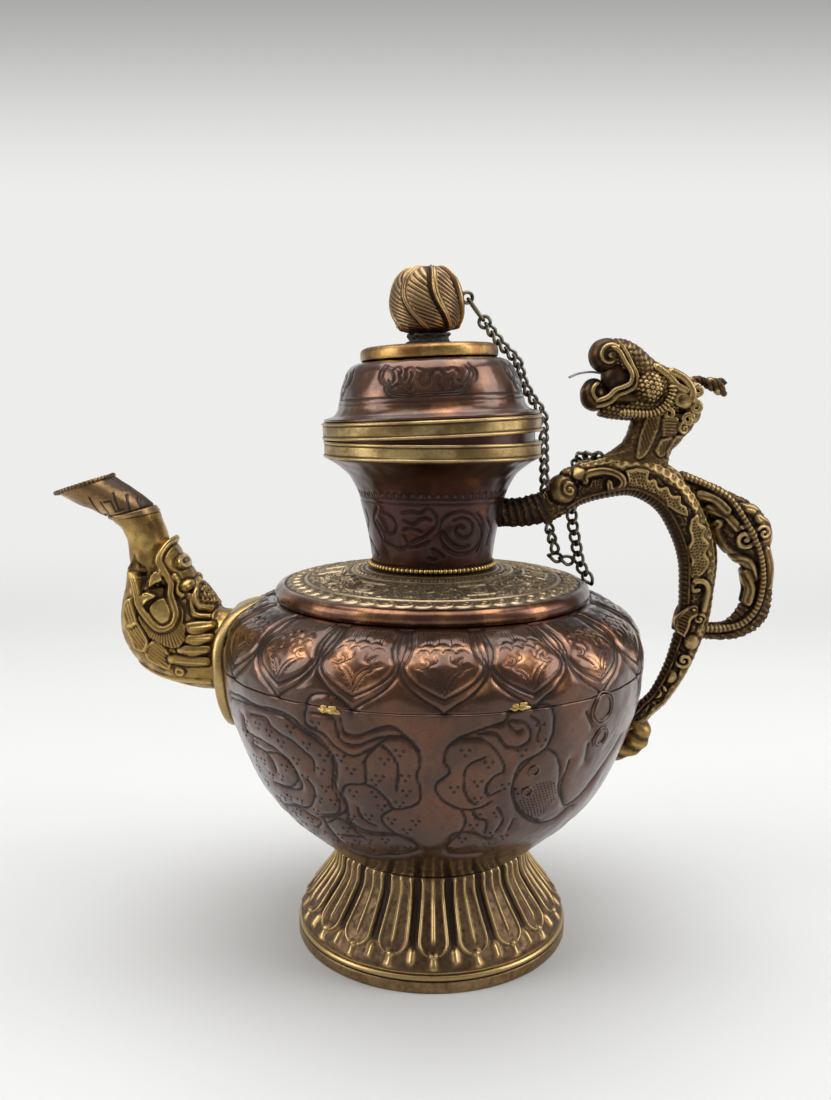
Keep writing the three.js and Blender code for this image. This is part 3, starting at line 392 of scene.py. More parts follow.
# Shares of two edges and a half width, put in place, smoothed and set at equal steps of their middle
def edgeRows(shares, place, width, count):
    rows = [[*place(a, b), *place(c, d), half * width] for a, b, c, d, half in shares]
    dense = smoothLine(rows, 60 * len(rows))
    return atEqualSteps(dense, lengthsAlong((dense[:, 0:2] + dense[:, 2:4]) / 2), count)


# Rows of x, z, radius in the middle plane as sections square to their line
def sweepEdges(rows, flat=1.0):
    rows = np.asarray(rows, float)
    along = np.gradient(rows[:, :2], axis=0)
    along /= np.linalg.norm(along, axis=1)[:, None]
    out = np.stack([-along[:, 1], along[:, 0]], 1) * rows[:, 2:3]
    return np.hstack([rows[:, :2] - out, rows[:, :2] + out, rows[:, 2:3] * flat])


# A rod along 3-D points: the cosine of the turn runs across the line and the up way, its sine square to both
def rodRings(line, radius, sides, up=(0, 0, 1)):
    line = np.asarray(line, float)
    along = np.gradient(line, axis=0)
    along /= np.maximum(np.linalg.norm(along, axis=1), 1e-9)[:, None]
    side = np.cross(along, np.broadcast_to(np.asarray(up, float), along.shape))
    side /= np.maximum(np.linalg.norm(side, axis=1), 1e-9)[:, None]
    lift = np.cross(side, along)
    turn = fullTurn(sides)[:, None]
    radius = np.broadcast_to(radius, len(line))[:, None, None]
    across = side[:, None, :] * np.cos(turn) + lift[:, None, :] * np.sin(turn)
    return line[:, None, :] + radius * across


# Materials

# A material and its nodes; most methods hand back the wire that they make
class Board:
    def __init__(self, name):
        self.material = bpy.data.materials.new(name)
        self.material.use_nodes = True
        self.tree = self.material.node_tree
        self.surface = self.tree.nodes["Principled BSDF"]

    # Settings come first, then socket values and links
    def make(self, kind, settings=None, **sockets):
        node = self.tree.nodes.new(kind)
        for key, value in (settings or {}).items():
            setattr(node, key, value)
        for key, value in sockets.items():
            self.put(node, int(key[1:]) if key[0] == "_" else key.replace("_", " "), value)
        return node

    # A wire is linked, a plain value is set
    def put(self, node, key, value):
        socket = node.inputs[key]
        if isinstance(value, Wire):
            self.tree.links.new(value.socket, socket)
        else:
            socket.default_value = value

    # Two values joined by the named operation
    def maths(self, operation, first, second=None, clamp=False):
        node = self.tree.nodes.new("ShaderNodeMath")
        node.operation, node.use_clamp = operation, clamp
        self.put(node, 0, first)
        if second is not None:
            self.put(node, 1, second)
        return Wire(self, node.outputs[0])

    # One less the share of the first colour, and the share of the second
    def mix(self, share, first, second):
        node = self.tree.nodes.new("ShaderNodeMix")
        node.data_type = "RGBA"
        for key, value in ((0, share), (6, first), (7, second)):
            self.put(node, key, value)
        return Wire(self, node.outputs[2])

    # Smooth change from low..high to start..end
    def ramp(self, value, low, high, start=0.0, end=1.0):
        node = self.make("ShaderNodeMapRange", {"interpolation_type": "SMOOTHSTEP"},
                         _0=value, _1=low, _2=high, _3=start, _4=end)
        return Wire(self, node.outputs[0])

    # Cloudy noise with patches of about the size in millimetres
    def noise(self, size, detail, rough, distortion=0.0):
        node = self.make("ShaderNodeTexNoise", None, Vector=self.place(), Scale=1 / (size * millimetre),
                         Detail=detail, Roughness=rough, Distortion=distortion)
        return Wire(self, node.outputs[0])

    # Spots in the object's own frame
    def place(self):
        return Wire(self, self.make("ShaderNodeTexCoord").outputs["Object"])

    # A value kept on the mesh's points, such as wear
    def attribute(self, name):
        node = self.make("ShaderNodeAttribute", {"attribute_name": name})
        return Wire(self, node.outputs["Fac"])

    # Tilts the surface as if it had the height
    def dent(self, height, strength, distance, under=None):
        node = self.make("ShaderNodeBump", None, Height=height, Strength=strength,
                         Distance=distance * millimetre)
        if under is not None:
            self.put(node, "Normal", under)
        return Wire(self, node.outputs[0])


# An output that can be added, subtracted and multiplied like a number
class Wire:
    def __init__(self, board, socket):
        self.board, self.socket = board, socket

    def __add__(self, other):
        return self.board.maths("ADD", self, other)

    def __sub__(self, other):
        return self.board.maths("SUBTRACT", self, other)

    def __mul__(self, other):
        return self.board.maths("MULTIPLY", self, other)

    __radd__, __rmul__ = __add__, __mul__


# Old worked metal: patches and grime in the hollows, rubbed colour on the ridges, fine pits. Where the wear
# value is lowered as painted shade, the grime's dark colour paints that shade
def oldMetal(name, look):
    board = Board(name)
    patches = board.ramp(board.noise(look["patchSize"], 4.0, 0.6, distortion=0.6), 0.35, 0.68)
    fine = board.noise(look["patchSize"] / 7, 3.0, 0.6)
    speckle = board.noise(look["patchSize"] / 40, 2.0, 0.7)
    wearAndShade = board.attribute("wearAndShade")
    colour = board.mix(patches, (*look["colour"], 1), (*look["second"], 1))
    colour = board.mix(board.ramp(fine, 0.55, 0.75, 0.0, look["thirdShare"]), colour, (*look["third"], 1))
    rubbed = board.ramp(wearAndShade + (fine - 0.5) * 0.9, look["rubFrom"], look["rubFrom"] + 0.75)
    colour = board.mix(rubbed * look["rub"], colour, (*look["worn"], 1))
    # Dark grime in the hollows, and painted shade where the wear value holds it
    grimeAndShade = board.ramp(wearAndShade * -1 + (fine - 0.5) * 0.7, 0.08, 0.75)
    colour = board.mix(grimeAndShade * look["grimeAndShadeAmount"], colour, (*look["dark"], 1))
    colour = board.mix(board.ramp(speckle, 0.3, 0.75, 0.0, 0.35), colour, (*look["dark"], 1))
    board.put(board.surface, "Base Color", colour)
    board.put(board.surface, "Metallic", board.ramp(grimeAndShade, 0.0, 1.0, look["metal"], look["metal"] * 0.72))
    rough = fine * look["roughSpread"] + (look["rough"] - look["roughSpread"] / 2)
    rough = rough + grimeAndShade * 0.16 - rubbed * look["polish"]
    board.put(board.surface, "Roughness", board.maths("ADD", rough + speckle * 0.06, 0.0, True))
    board.put(board.surface, "Coat Weight", board.ramp(grimeAndShade, 0.0, 0.8, look["coat"], look["coat"] * 0.1))
    board.put(board.surface, "Coat Roughness", look["coatRough"])
    dents = board.dent(board.noise(look["dentSize"], 1.0, 0.4), look["dents"], 0.5)
    pits = board.dent(speckle + fine * 0.6, look["pits"], 0.12, dents)
    board.put(board.surface, "Normal", pits)
    return board.material


# What the looks share; each look names only what differs
sharedLook = {
    "thirdShare": 0.5, "rub": 0.8, "metal": 1.0, "roughSpread": 0.16, "polish": 0.08, "coat": 0.0,
    "coatRough": 0.3, "dentSize": 7, "dents": 0.2, "pits": 0.4}
looks = {
    "copper": {
        "colour": (0.06, 0.022, 0.008), "second": (0.125, 0.04, 0.013), "third": (0.042, 0.021, 0.012),
        "thirdShare": 0.6, "worn": (0.58, 0.26, 0.1), "dark": (0.01, 0.006, 0.005), "patchSize": 30,
        "rubFrom": 0.12, "grimeAndShadeAmount": 0.85, "metal": 0.9, "rough": 0.3, "polish": 0.06, "coat": 0.8,
        "coatRough": 0.2, "dentSize": 8, "dents": 0.25, "pits": 0.35},
    "brightCopper": {
        "colour": (0.1, 0.034, 0.015), "second": (0.14, 0.052, 0.024), "third": (0.085, 0.03, 0.017),
        "worn": (0.52, 0.25, 0.11), "dark": (0.03, 0.013, 0.009), "patchSize": 24, "rubFrom": 0.1,
        "rub": 0.6, "grimeAndShadeAmount": 0.7, "rough": 0.27, "roughSpread": 0.14, "polish": 0.05, "coat": 0.45,
        "coatRough": 0.18, "dents": 0.15, "pits": 0.25},
    "brass": {
        "colour": (0.43, 0.27, 0.085), "second": (0.29, 0.17, 0.055), "third": (0.17, 0.095, 0.042),
        "thirdShare": 0.7, "worn": (0.7, 0.49, 0.17), "dark": (0.034, 0.018, 0.009), "patchSize": 22,
        "rubFrom": 0.05, "grimeAndShadeAmount": 0.88, "rough": 0.33, "pits": 0.7},
    "footBrass": {
        "colour": (0.3, 0.19, 0.095), "second": (0.18, 0.102, 0.052), "third": (0.085, 0.045, 0.024),
        "worn": (0.62, 0.44, 0.19), "dark": (0.02, 0.011, 0.007), "patchSize": 20, "rubFrom": 0.02,
        "grimeAndShadeAmount": 0.9, "rough": 0.36, "roughSpread": 0.15},
    "bronze": {
        "colour": (0.15, 0.088, 0.037), "second": (0.1, 0.056, 0.027), "third": (0.07, 0.04, 0.024),
        "worn": (0.58, 0.41, 0.17), "dark": (0.02, 0.011, 0.007), "patchSize": 18, "rubFrom": 0.06,
        "grimeAndShadeAmount": 0.86, "rough": 0.4, "polish": 0.1, "dentSize": 5, "dents": 0.25, "pits": 0.6},
    "discBrass": {
        "colour": (0.52, 0.4, 0.25), "second": (0.38, 0.275, 0.17), "third": (0.25, 0.17, 0.115),
        "worn": (0.6, 0.47, 0.27), "dark": (0.04, 0.026, 0.018), "patchSize": 20, "rubFrom": 0.1,
        "grimeAndShadeAmount": 0.8, "rough": 0.36, "roughSpread": 0.14, "dentSize": 6},
    "tipBrass": {
        "colour": (0.33, 0.2, 0.088), "second": (0.22, 0.13, 0.07), "third": (0.1, 0.06, 0.05),
        "worn": (0.6, 0.42, 0.18), "dark": (0.028, 0.018, 0.013), "patchSize": 16, "rubFrom": 0.1,
        "rub": 0.75, "grimeAndShadeAmount": 0.88, "rough": 0.34, "pits": 0.3},
    "verdigris": {
        "colour": (0.075, 0.085, 0.068), "second": (0.05, 0.045, 0.035), "third": (0.11, 0.14, 0.115),
        "thirdShare": 0.8, "worn": (0.25, 0.21, 0.12), "dark": (0.015, 0.014, 0.011), "patchSize": 9,
        "rubFrom": 0.4, "rub": 0.5, "grimeAndShadeAmount": 0.8, "metal": 0.55, "rough": 0.62, "roughSpread": 0.2,
        "polish": 0.05, "dentSize": 3, "dents": 0.4, "pits": 0.8},
    "chain": {
        "colour": (0.1, 0.08, 0.058), "second": (0.05, 0.043, 0.034), "third": (0.14, 0.11, 0.07),
        "thirdShare": 0.6, "worn": (0.5, 0.46, 0.36), "dark": (0.02, 0.018, 0.015), "patchSize": 7,
        "rubFrom": 0.05, "rub": 0.7, "grimeAndShadeAmount": 0.8, "rough": 0.33, "roughSpread": 0.18, "dentSize": 3,
        "dents": 0.15},
    "silver": {
        "colour": (0.36, 0.35, 0.36), "second": (0.25, 0.24, 0.26), "third": (0.18, 0.17, 0.18),
        "worn": (0.6, 0.58, 0.57), "dark": (0.06, 0.055, 0.055), "patchSize": 8, "rubFrom": 0.1,
        "rub": 0.6, "grimeAndShadeAmount": 0.7, "rough": 0.35, "polish": 0.05, "dentSize": 4, "dents": 0.15, "pits": 0.3}}
# A darker copy of the copper: on the neck it is painted shade for the dark room the metal reflects; on the
# lid's sleeve it is the sleeve's dark metal with painted shade on it
looks["darkAndShadedCopper"] = {
    **looks["copper"], "colour": (0.032, 0.009, 0.005), "second": (0.066, 0.015, 0.008),
    "third": (0.024, 0.01, 0.007), "worn": (0.3, 0.1, 0.045), "coat": 0.45}
looks["bandBrass"] = {
    **looks["brass"], "colour": (0.25, 0.165, 0.066), "second": (0.17, 0.11, 0.046),
    "worn": (0.62, 0.45, 0.2), "rough": 0.36}
looks["capBrass"] = {
    **looks["brass"], "colour": (0.27, 0.13, 0.045), "second": (0.15, 0.065, 0.026),
    "worn": (0.6, 0.38, 0.13), "patchSize": 14}
looks["flangeBrass"] = {
    **looks["brass"], "colour": (0.5, 0.35, 0.16), "second": (0.4, 0.27, 0.12),
    "third": (0.22, 0.14, 0.075)}
finishes = {name: oldMetal(name + "Finish", {**sharedLook, **look}) for name, look in looks.items()}


# Foot

footSizes = {
    "radius": 65.5, "waist": 45.3, "height": 44.2, "rimHeight": 8.2, "rimWidth": 3.4,
    "petals": 20, "petalBase": 14.5, "relief": 1.5, "wall": 1.8}
footShares = [
    [0.93, 0], [0.9, 0.09], [0.72, 0.22], [0.51, 0.38], [0.28, 0.55], [0.08, 0.72], [0.02, 0.84], [0, 1]]


# The skirt: an outline turned about the axis, moved out by the petals' relief
def foot(size):
    count, columns = size["petals"], 960
    low = size["rimHeight"] + 0.15
    outline = outlineOf(footShares, size["waist"], size["radius"], low, size["height"] - low, 70)
    angle = fullTurn(columns)
    cell = (angle * count / (2 * np.pi) + 0.5) % 1 - 0.5
    half = outline[:, :1] * np.pi / count
    across, up = cell * 2 * half, outline[:, 1:] + cell * 0
    heights, wearAndShade = petalRelief(across, up, half, size)
    outer = turned(outline, columns, heights)
    inner = innerWall(outline, size["wall"], columns, 13)
    Shape().grid(*walled(outer, wearAndShade, inner, -0.4), over=True).piece(
        "footSkirt", "vessel", "brass_foot", "footBrass", "foot_skirt")
    footRim(size)


# Petal outlines with a middle rib, gaps between them, and a bud between neighbouring tips
def petalRelief(across, up, half, size):
    base, top = size["petalBase"], size["height"]
    share = np.clip((up - base) / (top - base), 0, 1)
    tip = np.clip((up - base) / 5.5, 0, 1)
    wide = half * (0.8 - 0.08 * share) * np.sqrt(np.clip(1 - (1 - tip) ** 2, 0, 1))
    edge = np.abs(across) - wide
    inside = smoothStep(0.5, -0.5, edge) * smoothStep(base - 0.6, base + 0.4, up)
    rim = bump(edge + 0.75, 0.62) * smoothStep(base - 1.2, base, up)
    rim = np.maximum(rim, bump(np.hypot(across / 1.6, (up - base - 0.7)), 1.0))
    rib = bump(across, 0.65) * smoothStep(base + 3, base + 6, up)
    gap = smoothStep(0.1, 1.0, edge) * smoothStep(base + 1, base + 9, up)
    side = half - np.abs(across)
    bud = bump(side, 1.5) * smoothStep(base - 3.6, base - 1.4, up) * smoothStep(base + 4.5, base + 1.0, up)
    stem = bump(across, 1.1 + 1.2 * smoothStep(base - 1, base - 4.5, up)) * smoothStep(base - 5, base - 4, up)
    stem = stem * smoothStep(base + 1.0, base - 0.4, up)
    dart = bump(side, 0.7) * smoothStep(base + 4, base + 8, up) * 0.5
    heights = size["relief"] * (
        0.32 * inside + 0.62 * rim + 0.5 * rib - 0.55 * gap + 0.7 * bud + 0.55 * stem + 0.4 * dart)
    ridges = np.clip(rim + rib + bud + stem, 0, 1)
    wearAndShade = ridges - 0.75 * gap - 0.45 * (1 - ridges)
    ledge = bump(up - (base - 5.6), 0.5)
    close = smoothStep(size["height"] + 0.2, size["height"] - 2.5, up)
    plain = smoothStep(base - 5.0, base - 6.0, up)
    heights = (heights * (1 - plain) + 0.35 * ledge) * close
    return heights, np.where(plain > 0.5, 0.15 + 0.5 * ledge, wearAndShade)


# The rim: its profile turned about the axis, dark in the groove
def footRim(size):
    top, radius, inner = size["rimHeight"], size["radius"], size["radius"] - size["rimWidth"]
    profile = np.array([
        [inner, 0], [radius - 0.9, 0], [radius - 0.25, 0.3], [radius, 0.9], [radius, 4.6],
        [radius - 0.15, 5.1], [radius - 0.75, 5.35], [radius - 0.75, 5.9], [radius - 0.2, 6.15],
        [radius - 0.15, 7.1], [radius - 0.7, 7.9], [radius - 1.6, top], [inner, top]])
    rows = np.vstack([np.linspace(a, b, 4)[:-1] for a, b in zip(profile, np.roll(profile, -1, 0))])
    columns = 260
    angle = fullTurn(columns)
    spots = aboutAxis(rows[:, :1], angle, rows[:, 1:])
    wearAndShade = np.where((rows[:, 1] > 5.2) & (rows[:, 1] < 6.1), -0.9, np.where(rows[:, 1] > 6.1, 0.7, 0.25))
    Shape().grid(spots, wearAndShade[:, None] + angle * 0, over=True).piece(
        "footRim", "vessel", "brass_foot", "footBrass", "foot_rim")


foot(footSizes)
print("foot done")


# Vessel

vesselSizes = {
    "waist": 45.3, "belly": 99.1, "base": 44.5, "bowlHeight": 92.5, "shoulderBase": 137.3,
    "shoulderHeight": 28.0, "collar": 73.9, "sheet": 1.2, "dents": 0.07}
bowlShares = [
    [0, 0], [0.1, 0.04], [0.22, 0.1], [0.35, 0.168], [0.49, 0.245], [0.635, 0.349], [0.741, 0.453],
    [0.835, 0.583], [0.915, 0.712], [0.974, 0.842], [1, 1]]
shoulderShares = [[1, 0], [0.99, 0.24], [0.9, 0.5], [0.68, 0.754], [0.24, 0.955], [0, 1]]
bowlLine = outlineOf(bowlShares, vesselSizes["waist"], vesselSizes["belly"], vesselSizes["base"],
                     vesselSizes["bowlHeight"], 400)
shoulderLine = outlineOf(shoulderShares, vesselSizes["collar"] - vesselSizes["sheet"], vesselSizes["belly"],
                         vesselSizes["shoulderBase"], vesselSizes["shoulderHeight"], 160)


# Height of the hammered surface above its plain outline
def hammered(spots, size):
    return size["dents"] * (ripple(spots, 13, 5) + 0.5 * ripple(spots, 6, 6))


# Ornament of the vessel

# Chased lines of clouds, ribbons and a fish, in degrees right of the front and millimetres up the outline
cloudStrokes = [
    [-67, 102.6, -56.5, 104.9, -49.3, 104.1, -42.4, 105.3, -36.7, 104.1, -32.5, 100.1, -28.7, 97.6, -26.3,
    93.3, -24.8, 88.4, -25.2, 81.3, -26.4, 75.2, -25.3, 68.1, -24.9, 62.1, -29.5, 56.8, -35.5, 53.2],
    [-66.1, 100.4, -55.1, 103, -45.7, 103.8, -39.5, 103.8, -35.1, 100.4, -30.3, 96.9, -27.4, 93.6, -25.9,
    89.3, -26.1, 82.5, -27.5, 73.3, -26.5, 66.1, -28.1, 59.2, -33.7, 55.7], [-52.7, 99, -46.1, 100.1,
    -44.2, 96.9, -40.4, 94.6, -36.8, 93, -33.7, 89.3, -31.6, 86, -32, 80.3], [-58.3, 95.9, -57.6, 88.1,
    -50.7, 87.5, -44.8, 86, -40.8, 82.2, -38.6, 76.2, -38.8, 68.4, -45.6, 65.1, -51.2, 65.1], [-55, 88.1,
    -56.5, 82.2, -50.4, 81.9, -48.1, 78.7, -48.2, 72.7], [-51.3, 81.3, -43.7, 83.8, -39.5, 78.4, -39.3,
    72.7, -43.9, 66.7, -49.7, 65.4], [-35.4, 74.6, -34.1, 69.1, -36.2, 62.1, -39.9, 57.1, -46.6, 55.7],
    [-51.8, 51.8, -44.5, 54.6, -39.3, 52.1, -36.7, 49.6, -40.6, 43.4], [-34.6, 52.7, -34.5, 40.2, -31.5,
    30.1, -23, 27, -14.1, 33.3], [-33.7, 50.5, -27.8, 56, -23.8, 47.9, -22.5, 45.2, -29, 43.4], [-25.8,
    56.8, -23.4, 50.2, -16.5, 48.5, -11.2, 49.9, -6.4, 45.2, -5.4, 39.2, -10, 34.4, -19, 29.3], [-17,
    89.6, -17.2, 82.2, -18.2, 78.1, -23, 76.2, -24.9, 71, -24.2, 66.7, -24.8, 57.1, -23, 52.4, -18, 50.2,
    -12.8, 50.7], [-18.2, 78.1, -15.4, 76.8, -12.8, 71.4, -10.9, 66.4, -7.1, 67.4, -4.2, 70.7, -3.7, 76.8,
    -4.6, 84.4, -3.6, 89.3, -3.9, 95.9, -6.4, 100.4, -9.6, 101.9, -12.9, 98.6, -15.8, 93, -17.4, 88.7],
    [-12.9, 98.6, -9.8, 92.7, -9, 86.3, -9.7, 76.2], [-10.9, 66.4, -14.3, 61.7, -14.3, 56.8, -11.2, 49.9],
    [-21.2, 64.7, -20.3, 58.6, -16.6, 54.6], [-31.7, 108.7, -30.7, 114.2, -27.2, 116.8, -22.8, 116, -20.7,
    113], [-30.5, 107.9, -25.1, 107.9, -23.8, 104.9, -22.6, 97.9, -18.4, 96.6, -14.2, 100.1, -10.2, 101.9,
    -6.4, 101.5], [-22.3, 107.5, -21.7, 101.9, -18.3, 100.8, -14.1, 104.1, -10.2, 106, -7, 102.3, -4.5,
    96.9, -3.9, 90.5], [-32.1, 107.9, -32, 102.6, -27, 99.4, -24.2, 94.9, -20.1, 91.4, -16.4, 94.3, -12.9,
    98.6], [2, 90.8, 2.5, 96.9, 5.1, 101.2, 8.9, 103.8, 12.8, 105.7, 16.1, 107.5, 16.7, 110.9, 19.4,
    112.7], [5.7, 101.5, 10.2, 100.8, 13.7, 95.9, 16.2, 89, 16.8, 84.7, 14.5, 82.5, 12.7, 77.1, 13.8,
    72.7, 16.6, 74.9], [2, 90.8, 3.4, 86, 0.7, 81.3, 0.1, 76.8, 2.3, 71, 6.8, 66.7, 12, 66.7, 14.8, 69.4],
    [11.8, 92.4, 7.9, 89, 6.8, 82.2, 7.9, 73.6, 10.4, 68.7], [9.5, 102.6, 13.5, 103, 16.4, 96.9, 20, 95.6,
    22.7, 99, 21.4, 105.3, 18.1, 107.5, 16.8, 106, 19, 102.3, 20.3, 103],
    [22.3, 108.7, 24.7, 104.5, 24.6, 98.6], [21.5, 112.3, 26.7, 112.3, 28.9, 106, 28.5, 97.6, 26.3, 91.7,
    21.3, 87.8, 19.9, 80, 20.5, 71, 24, 60.8, 32, 51.3, 39.2, 50.2, 43.4, 55.1, 46.1, 55.1], [27.8, 92.7,
    24.2, 89.9, 21.6, 85, 20, 78.4, 21.1, 69.4, 25, 60.5, 32.9, 51.8], [27.8, 92.7, 30.8, 89, 33.4, 81.3,
    35.7, 68.4, 40.9, 58], [6.8, 66.1, 8.2, 61.1, 7.5, 52.7, 3.9, 42.1, 6.2, 35.2, 16.2, 33.8],
    [9.8, 65.7, 11.7, 60.8, 14.3, 58.6, 14.7, 51], [16.7, 66.1, 19.2, 58.9, 18.5, 52.1],
    [22.8, 57.7, 22.3, 50.7], [3.9, 42.1, 5.2, 50.7, 10, 52.1, 16.9, 45.2], [39.1, 105.3, 41.8, 97.9],
    [41.5, 90.2, 42.6, 81.6], [36.1, 84.4, 36, 71.4, 40.9, 58, 46.8, 59.8, 51.2, 66.7, 54.4, 73.9, 60,
    85.3]]
starSpots = [
    [-24.6, 115.1], [-37, 99], [-29.1, 103.4], [-32.3, 93.3], [-29.6, 81.9], [-13.6, 82.8], [-7.3, 83.5],
    [-14.8, 80.3], [-7.2, 75.9], [-9.2, 69.7], [-21.4, 73], [-15.3, 73.9], [-18.3, 60.8], [-23.7, 58.9],
    [-46.1, 71.4], [-35.6, 75.9], [-46.1, 60.1], [-35.9, 57.4], [-15.1, 45.9], [-8.4, 41.4],
    [-20.9, 43.7], [6.8, 95.6], [12.6, 89.6], [4.6, 78.1], [10.4, 80.6], [10.9, 71.7], [25.1, 103.4],
    [25.8, 96.6], [20.8, 93.3], [11.2, 62.4], [17, 62.7], [10.8, 56.5], [17.4, 50.5], [12.1, 40.8],
    [6.2, 40.5]]
ringSpots = [  # degrees, arc and radius
    [24.9, 83.5, 2.3], [24.3, 73, 2.3], [44.9, 105.3, 5.4], [44.9, 105.3, 6.8], [45.8, 91.7, 4.6],
    [45.8, 91.7, 3.4]]
solderSpots = [[-24.5, 4.2], [-26.6, 2.4], [20.0, 3.4], [18.2, 2.2]]  # degrees and half length
# One lappet of the shoulder, in degrees from its middle: outlines first, then its two-leaved palmette
lappetStrokes = [
    [0, 117, -3.6, 120, -7.6, 124.4, -9.5, 129.4, -8.7, 134, -8.1, 139, -8.4, 146, -9.0, 152.5], [0,
    111.4, -2.4, 114.6, -6.2, 118.8, -9.4, 124.2, -10.4, 129.4, -10, 134, -9.5, 140, -9.7, 147, -10,
    152.5]]
leafStrokes = [
    [0, 118.6, -1.0, 122, -2.4, 125.6, -4.4, 128.4], [0, 121.2, -0.5, 124.6, -1.9, 127.4, -3.6, 128.9],
    [-6.4, 129.8, -4.7, 129.2, -3.3, 130.6, -3.5, 132.6, -4.9, 133.8], [-5.6, 130.6, -4.5, 130.6, -4.2,
    132, -4.8, 132.8], [-3.2, 130.6, -1.6, 132.2, -1.8, 134.6], [-6.6, 136.6, -5.6, 138.4, -4.0, 138.2,
    -3.4, 136.4], [-3.2, 136.6, -2.2, 138.6, -0.6, 138.4, 0, 136.8], [-5.4, 140.2, -4.2, 142, -2.8, 141.6,
    -2.2, 139.8], [-2.0, 140.4, -1, 142.4, 0, 142.6]]
ornament = {
    "lappets": 17, "lappetMiddle": 1.9, "depth": 0.62, "softness": 1.05, "line": 0.3, "pillow": 0.5,
    "stripes": 19, "seed": 8, "dotsAt": 88, "ringsAt": 92}  # the last two: the bowl's radius there
bodyLine = np.vstack([bowlLine, shoulderLine])
bodyArc = lengthsAlong(bodyLine)
bodyOut = outlineNormals(bodyLine)


# Degrees and arcs as a smooth line in radians and millimetres
def strokeLine(flat, steps=5):
    rows = np.asarray(flat, float).reshape(-1, 2) * [math.pi / 180, 1]
    return smoothLine(rows, steps * (len(rows) - 1) + 1)


# The angle changes its sign
def mirrored(lines):
    return [line * [-1, 1] for line in lines]


# One where a spot lies on a stroke, falling away softly beside it
def nearStrokes(angle, arc, radius, strokes, softness):
    total = np.zeros(angle.shape)
    for stroke in strokes:
        middle = (stroke[:, 0].min() + stroke[:, 0].max()) / 2
        turn = (angle - middle + np.pi) % (2 * np.pi) - np.pi
        reach = np.ptp(stroke[:, 0]) / 2 + 3 * softness / radius
        low, high = stroke[:, 1].min() - 3 * softness, stroke[:, 1].max() + 3 * softness
        near = (np.abs(turn) < reach) & (arc > low) & (arc < high)
        if near.any():
            away, _ = lineDistance(turn[near] * radius[near], arc[near], stroke - [middle, 0], radius[near])
            total[near] = np.maximum(total[near], bump(away, softness))
    return total


frontStrokes = [strokeLine(flat) for flat in cloudStrokes]
cloudLines = frontStrokes + [line + [math.pi, 0] for line in frontStrokes]
lappetHalf = [strokeLine(flat) for flat in lappetStrokes]
lappetLines = lappetHalf + mirrored(lappetHalf)
leafHalf = [strokeLine(flat) for flat in leafStrokes]
leafLines = leafHalf + mirrored(leafHalf)


# Angle from the middle of the nearest lappet
def lappetAngle(angle):
    pitch = 2 * np.pi / ornament["lappets"]
    return (angle - math.radians(ornament["lappetMiddle"]) + pitch / 2) % pitch - pitch / 2


# Nearness to clouds, lappets and leaves, each nothing to one
def bodyGrooves(angle, arc):
    radius = np.interp(arc, bodyArc, bodyLine[:, 0])
    soft = ornament["softness"]
    clouds = nearStrokes(angle, arc, radius, cloudLines, soft)
    folded = lappetAngle(angle)
    petals = nearStrokes(folded, arc, radius, lappetLines, soft)
    leaves = 0.5 * nearStrokes(folded, arc, radius, leafLines, soft * 0.7)
    return clouds, petals, leaves


# The outline at the arc, moved out by dents and pillow less the chased depth
def onBody(angle, arc, lift=0.0):
    angle, arc = np.broadcast_arrays(angle, arc)
    radius, height = (np.interp(arc, bodyArc, bodyLine[:, i]) for i in (0, 1))
    outR, outZ = (np.interp(arc, bodyArc, bodyOut[:, i]) for i in (0, 1))
    plain = aboutAxis(radius, angle, height)
    clouds, petals, leaves = bodyGrooves(angle, arc)
    calm = smoothStep(0, 5, arc) * smoothStep(bodyArc[-1], bodyArc[-1] - 3, arc)
    outlines = np.maximum(clouds, petals)
    chased = np.maximum(outlines, leaves)
    away = ornament["softness"] * np.sqrt(-np.log(np.clip(outlines, 1e-9, 1)))
    pillow = ornament["pillow"] * (1 - bump(away, 3.4)) - 0.2
    rise = (hammered(plain, vesselSizes) + pillow - ornament["depth"] * chased) * calm + lift
    radius, height = radius + outR * rise, height + outZ * rise
    return aboutAxis(radius, angle, height), clouds, np.maximum(petals, leaves)


# Narrow closed strips along lines of a surface: two edges and a middle on it, the fourth side under it
def strips(shape, lines, place, half, lift, wearAndShade, step=1.3, scale=80):
    split = []
    for line in lines:
        steps = max(int(lengthsAlong(line * [scale, 1])[-1] / step), 2)
        at = np.linspace(0, 1, steps + 1)
        split.append(np.stack([np.interp(at, np.linspace(0, 1, len(line)), line[:, i]) for i in (0, 1)], 1))
    every = np.vstack(split)
    middles = place(every[:, 0], every[:, 1], lift)
    outsides = place(every[:, 0], every[:, 1], lift + 1.0) - middles
    first = 0
    for line in split:
        middle, outside = (part[first:first + len(line)] for part in (middles, outsides))
        first += len(line)
        side = np.cross(np.gradient(middle, axis=0), outside)
        side *= half / np.maximum(np.linalg.norm(side, axis=1), 1e-9)[:, None]
        side[[0, -1]] *= 0.25
        low = outside * 0.04
        rings = np.stack([middle - side - low, middle, middle + side - low, middle - outside * 0.3], 1)
        shape.grid(rings, wearAndShade, capped=True)


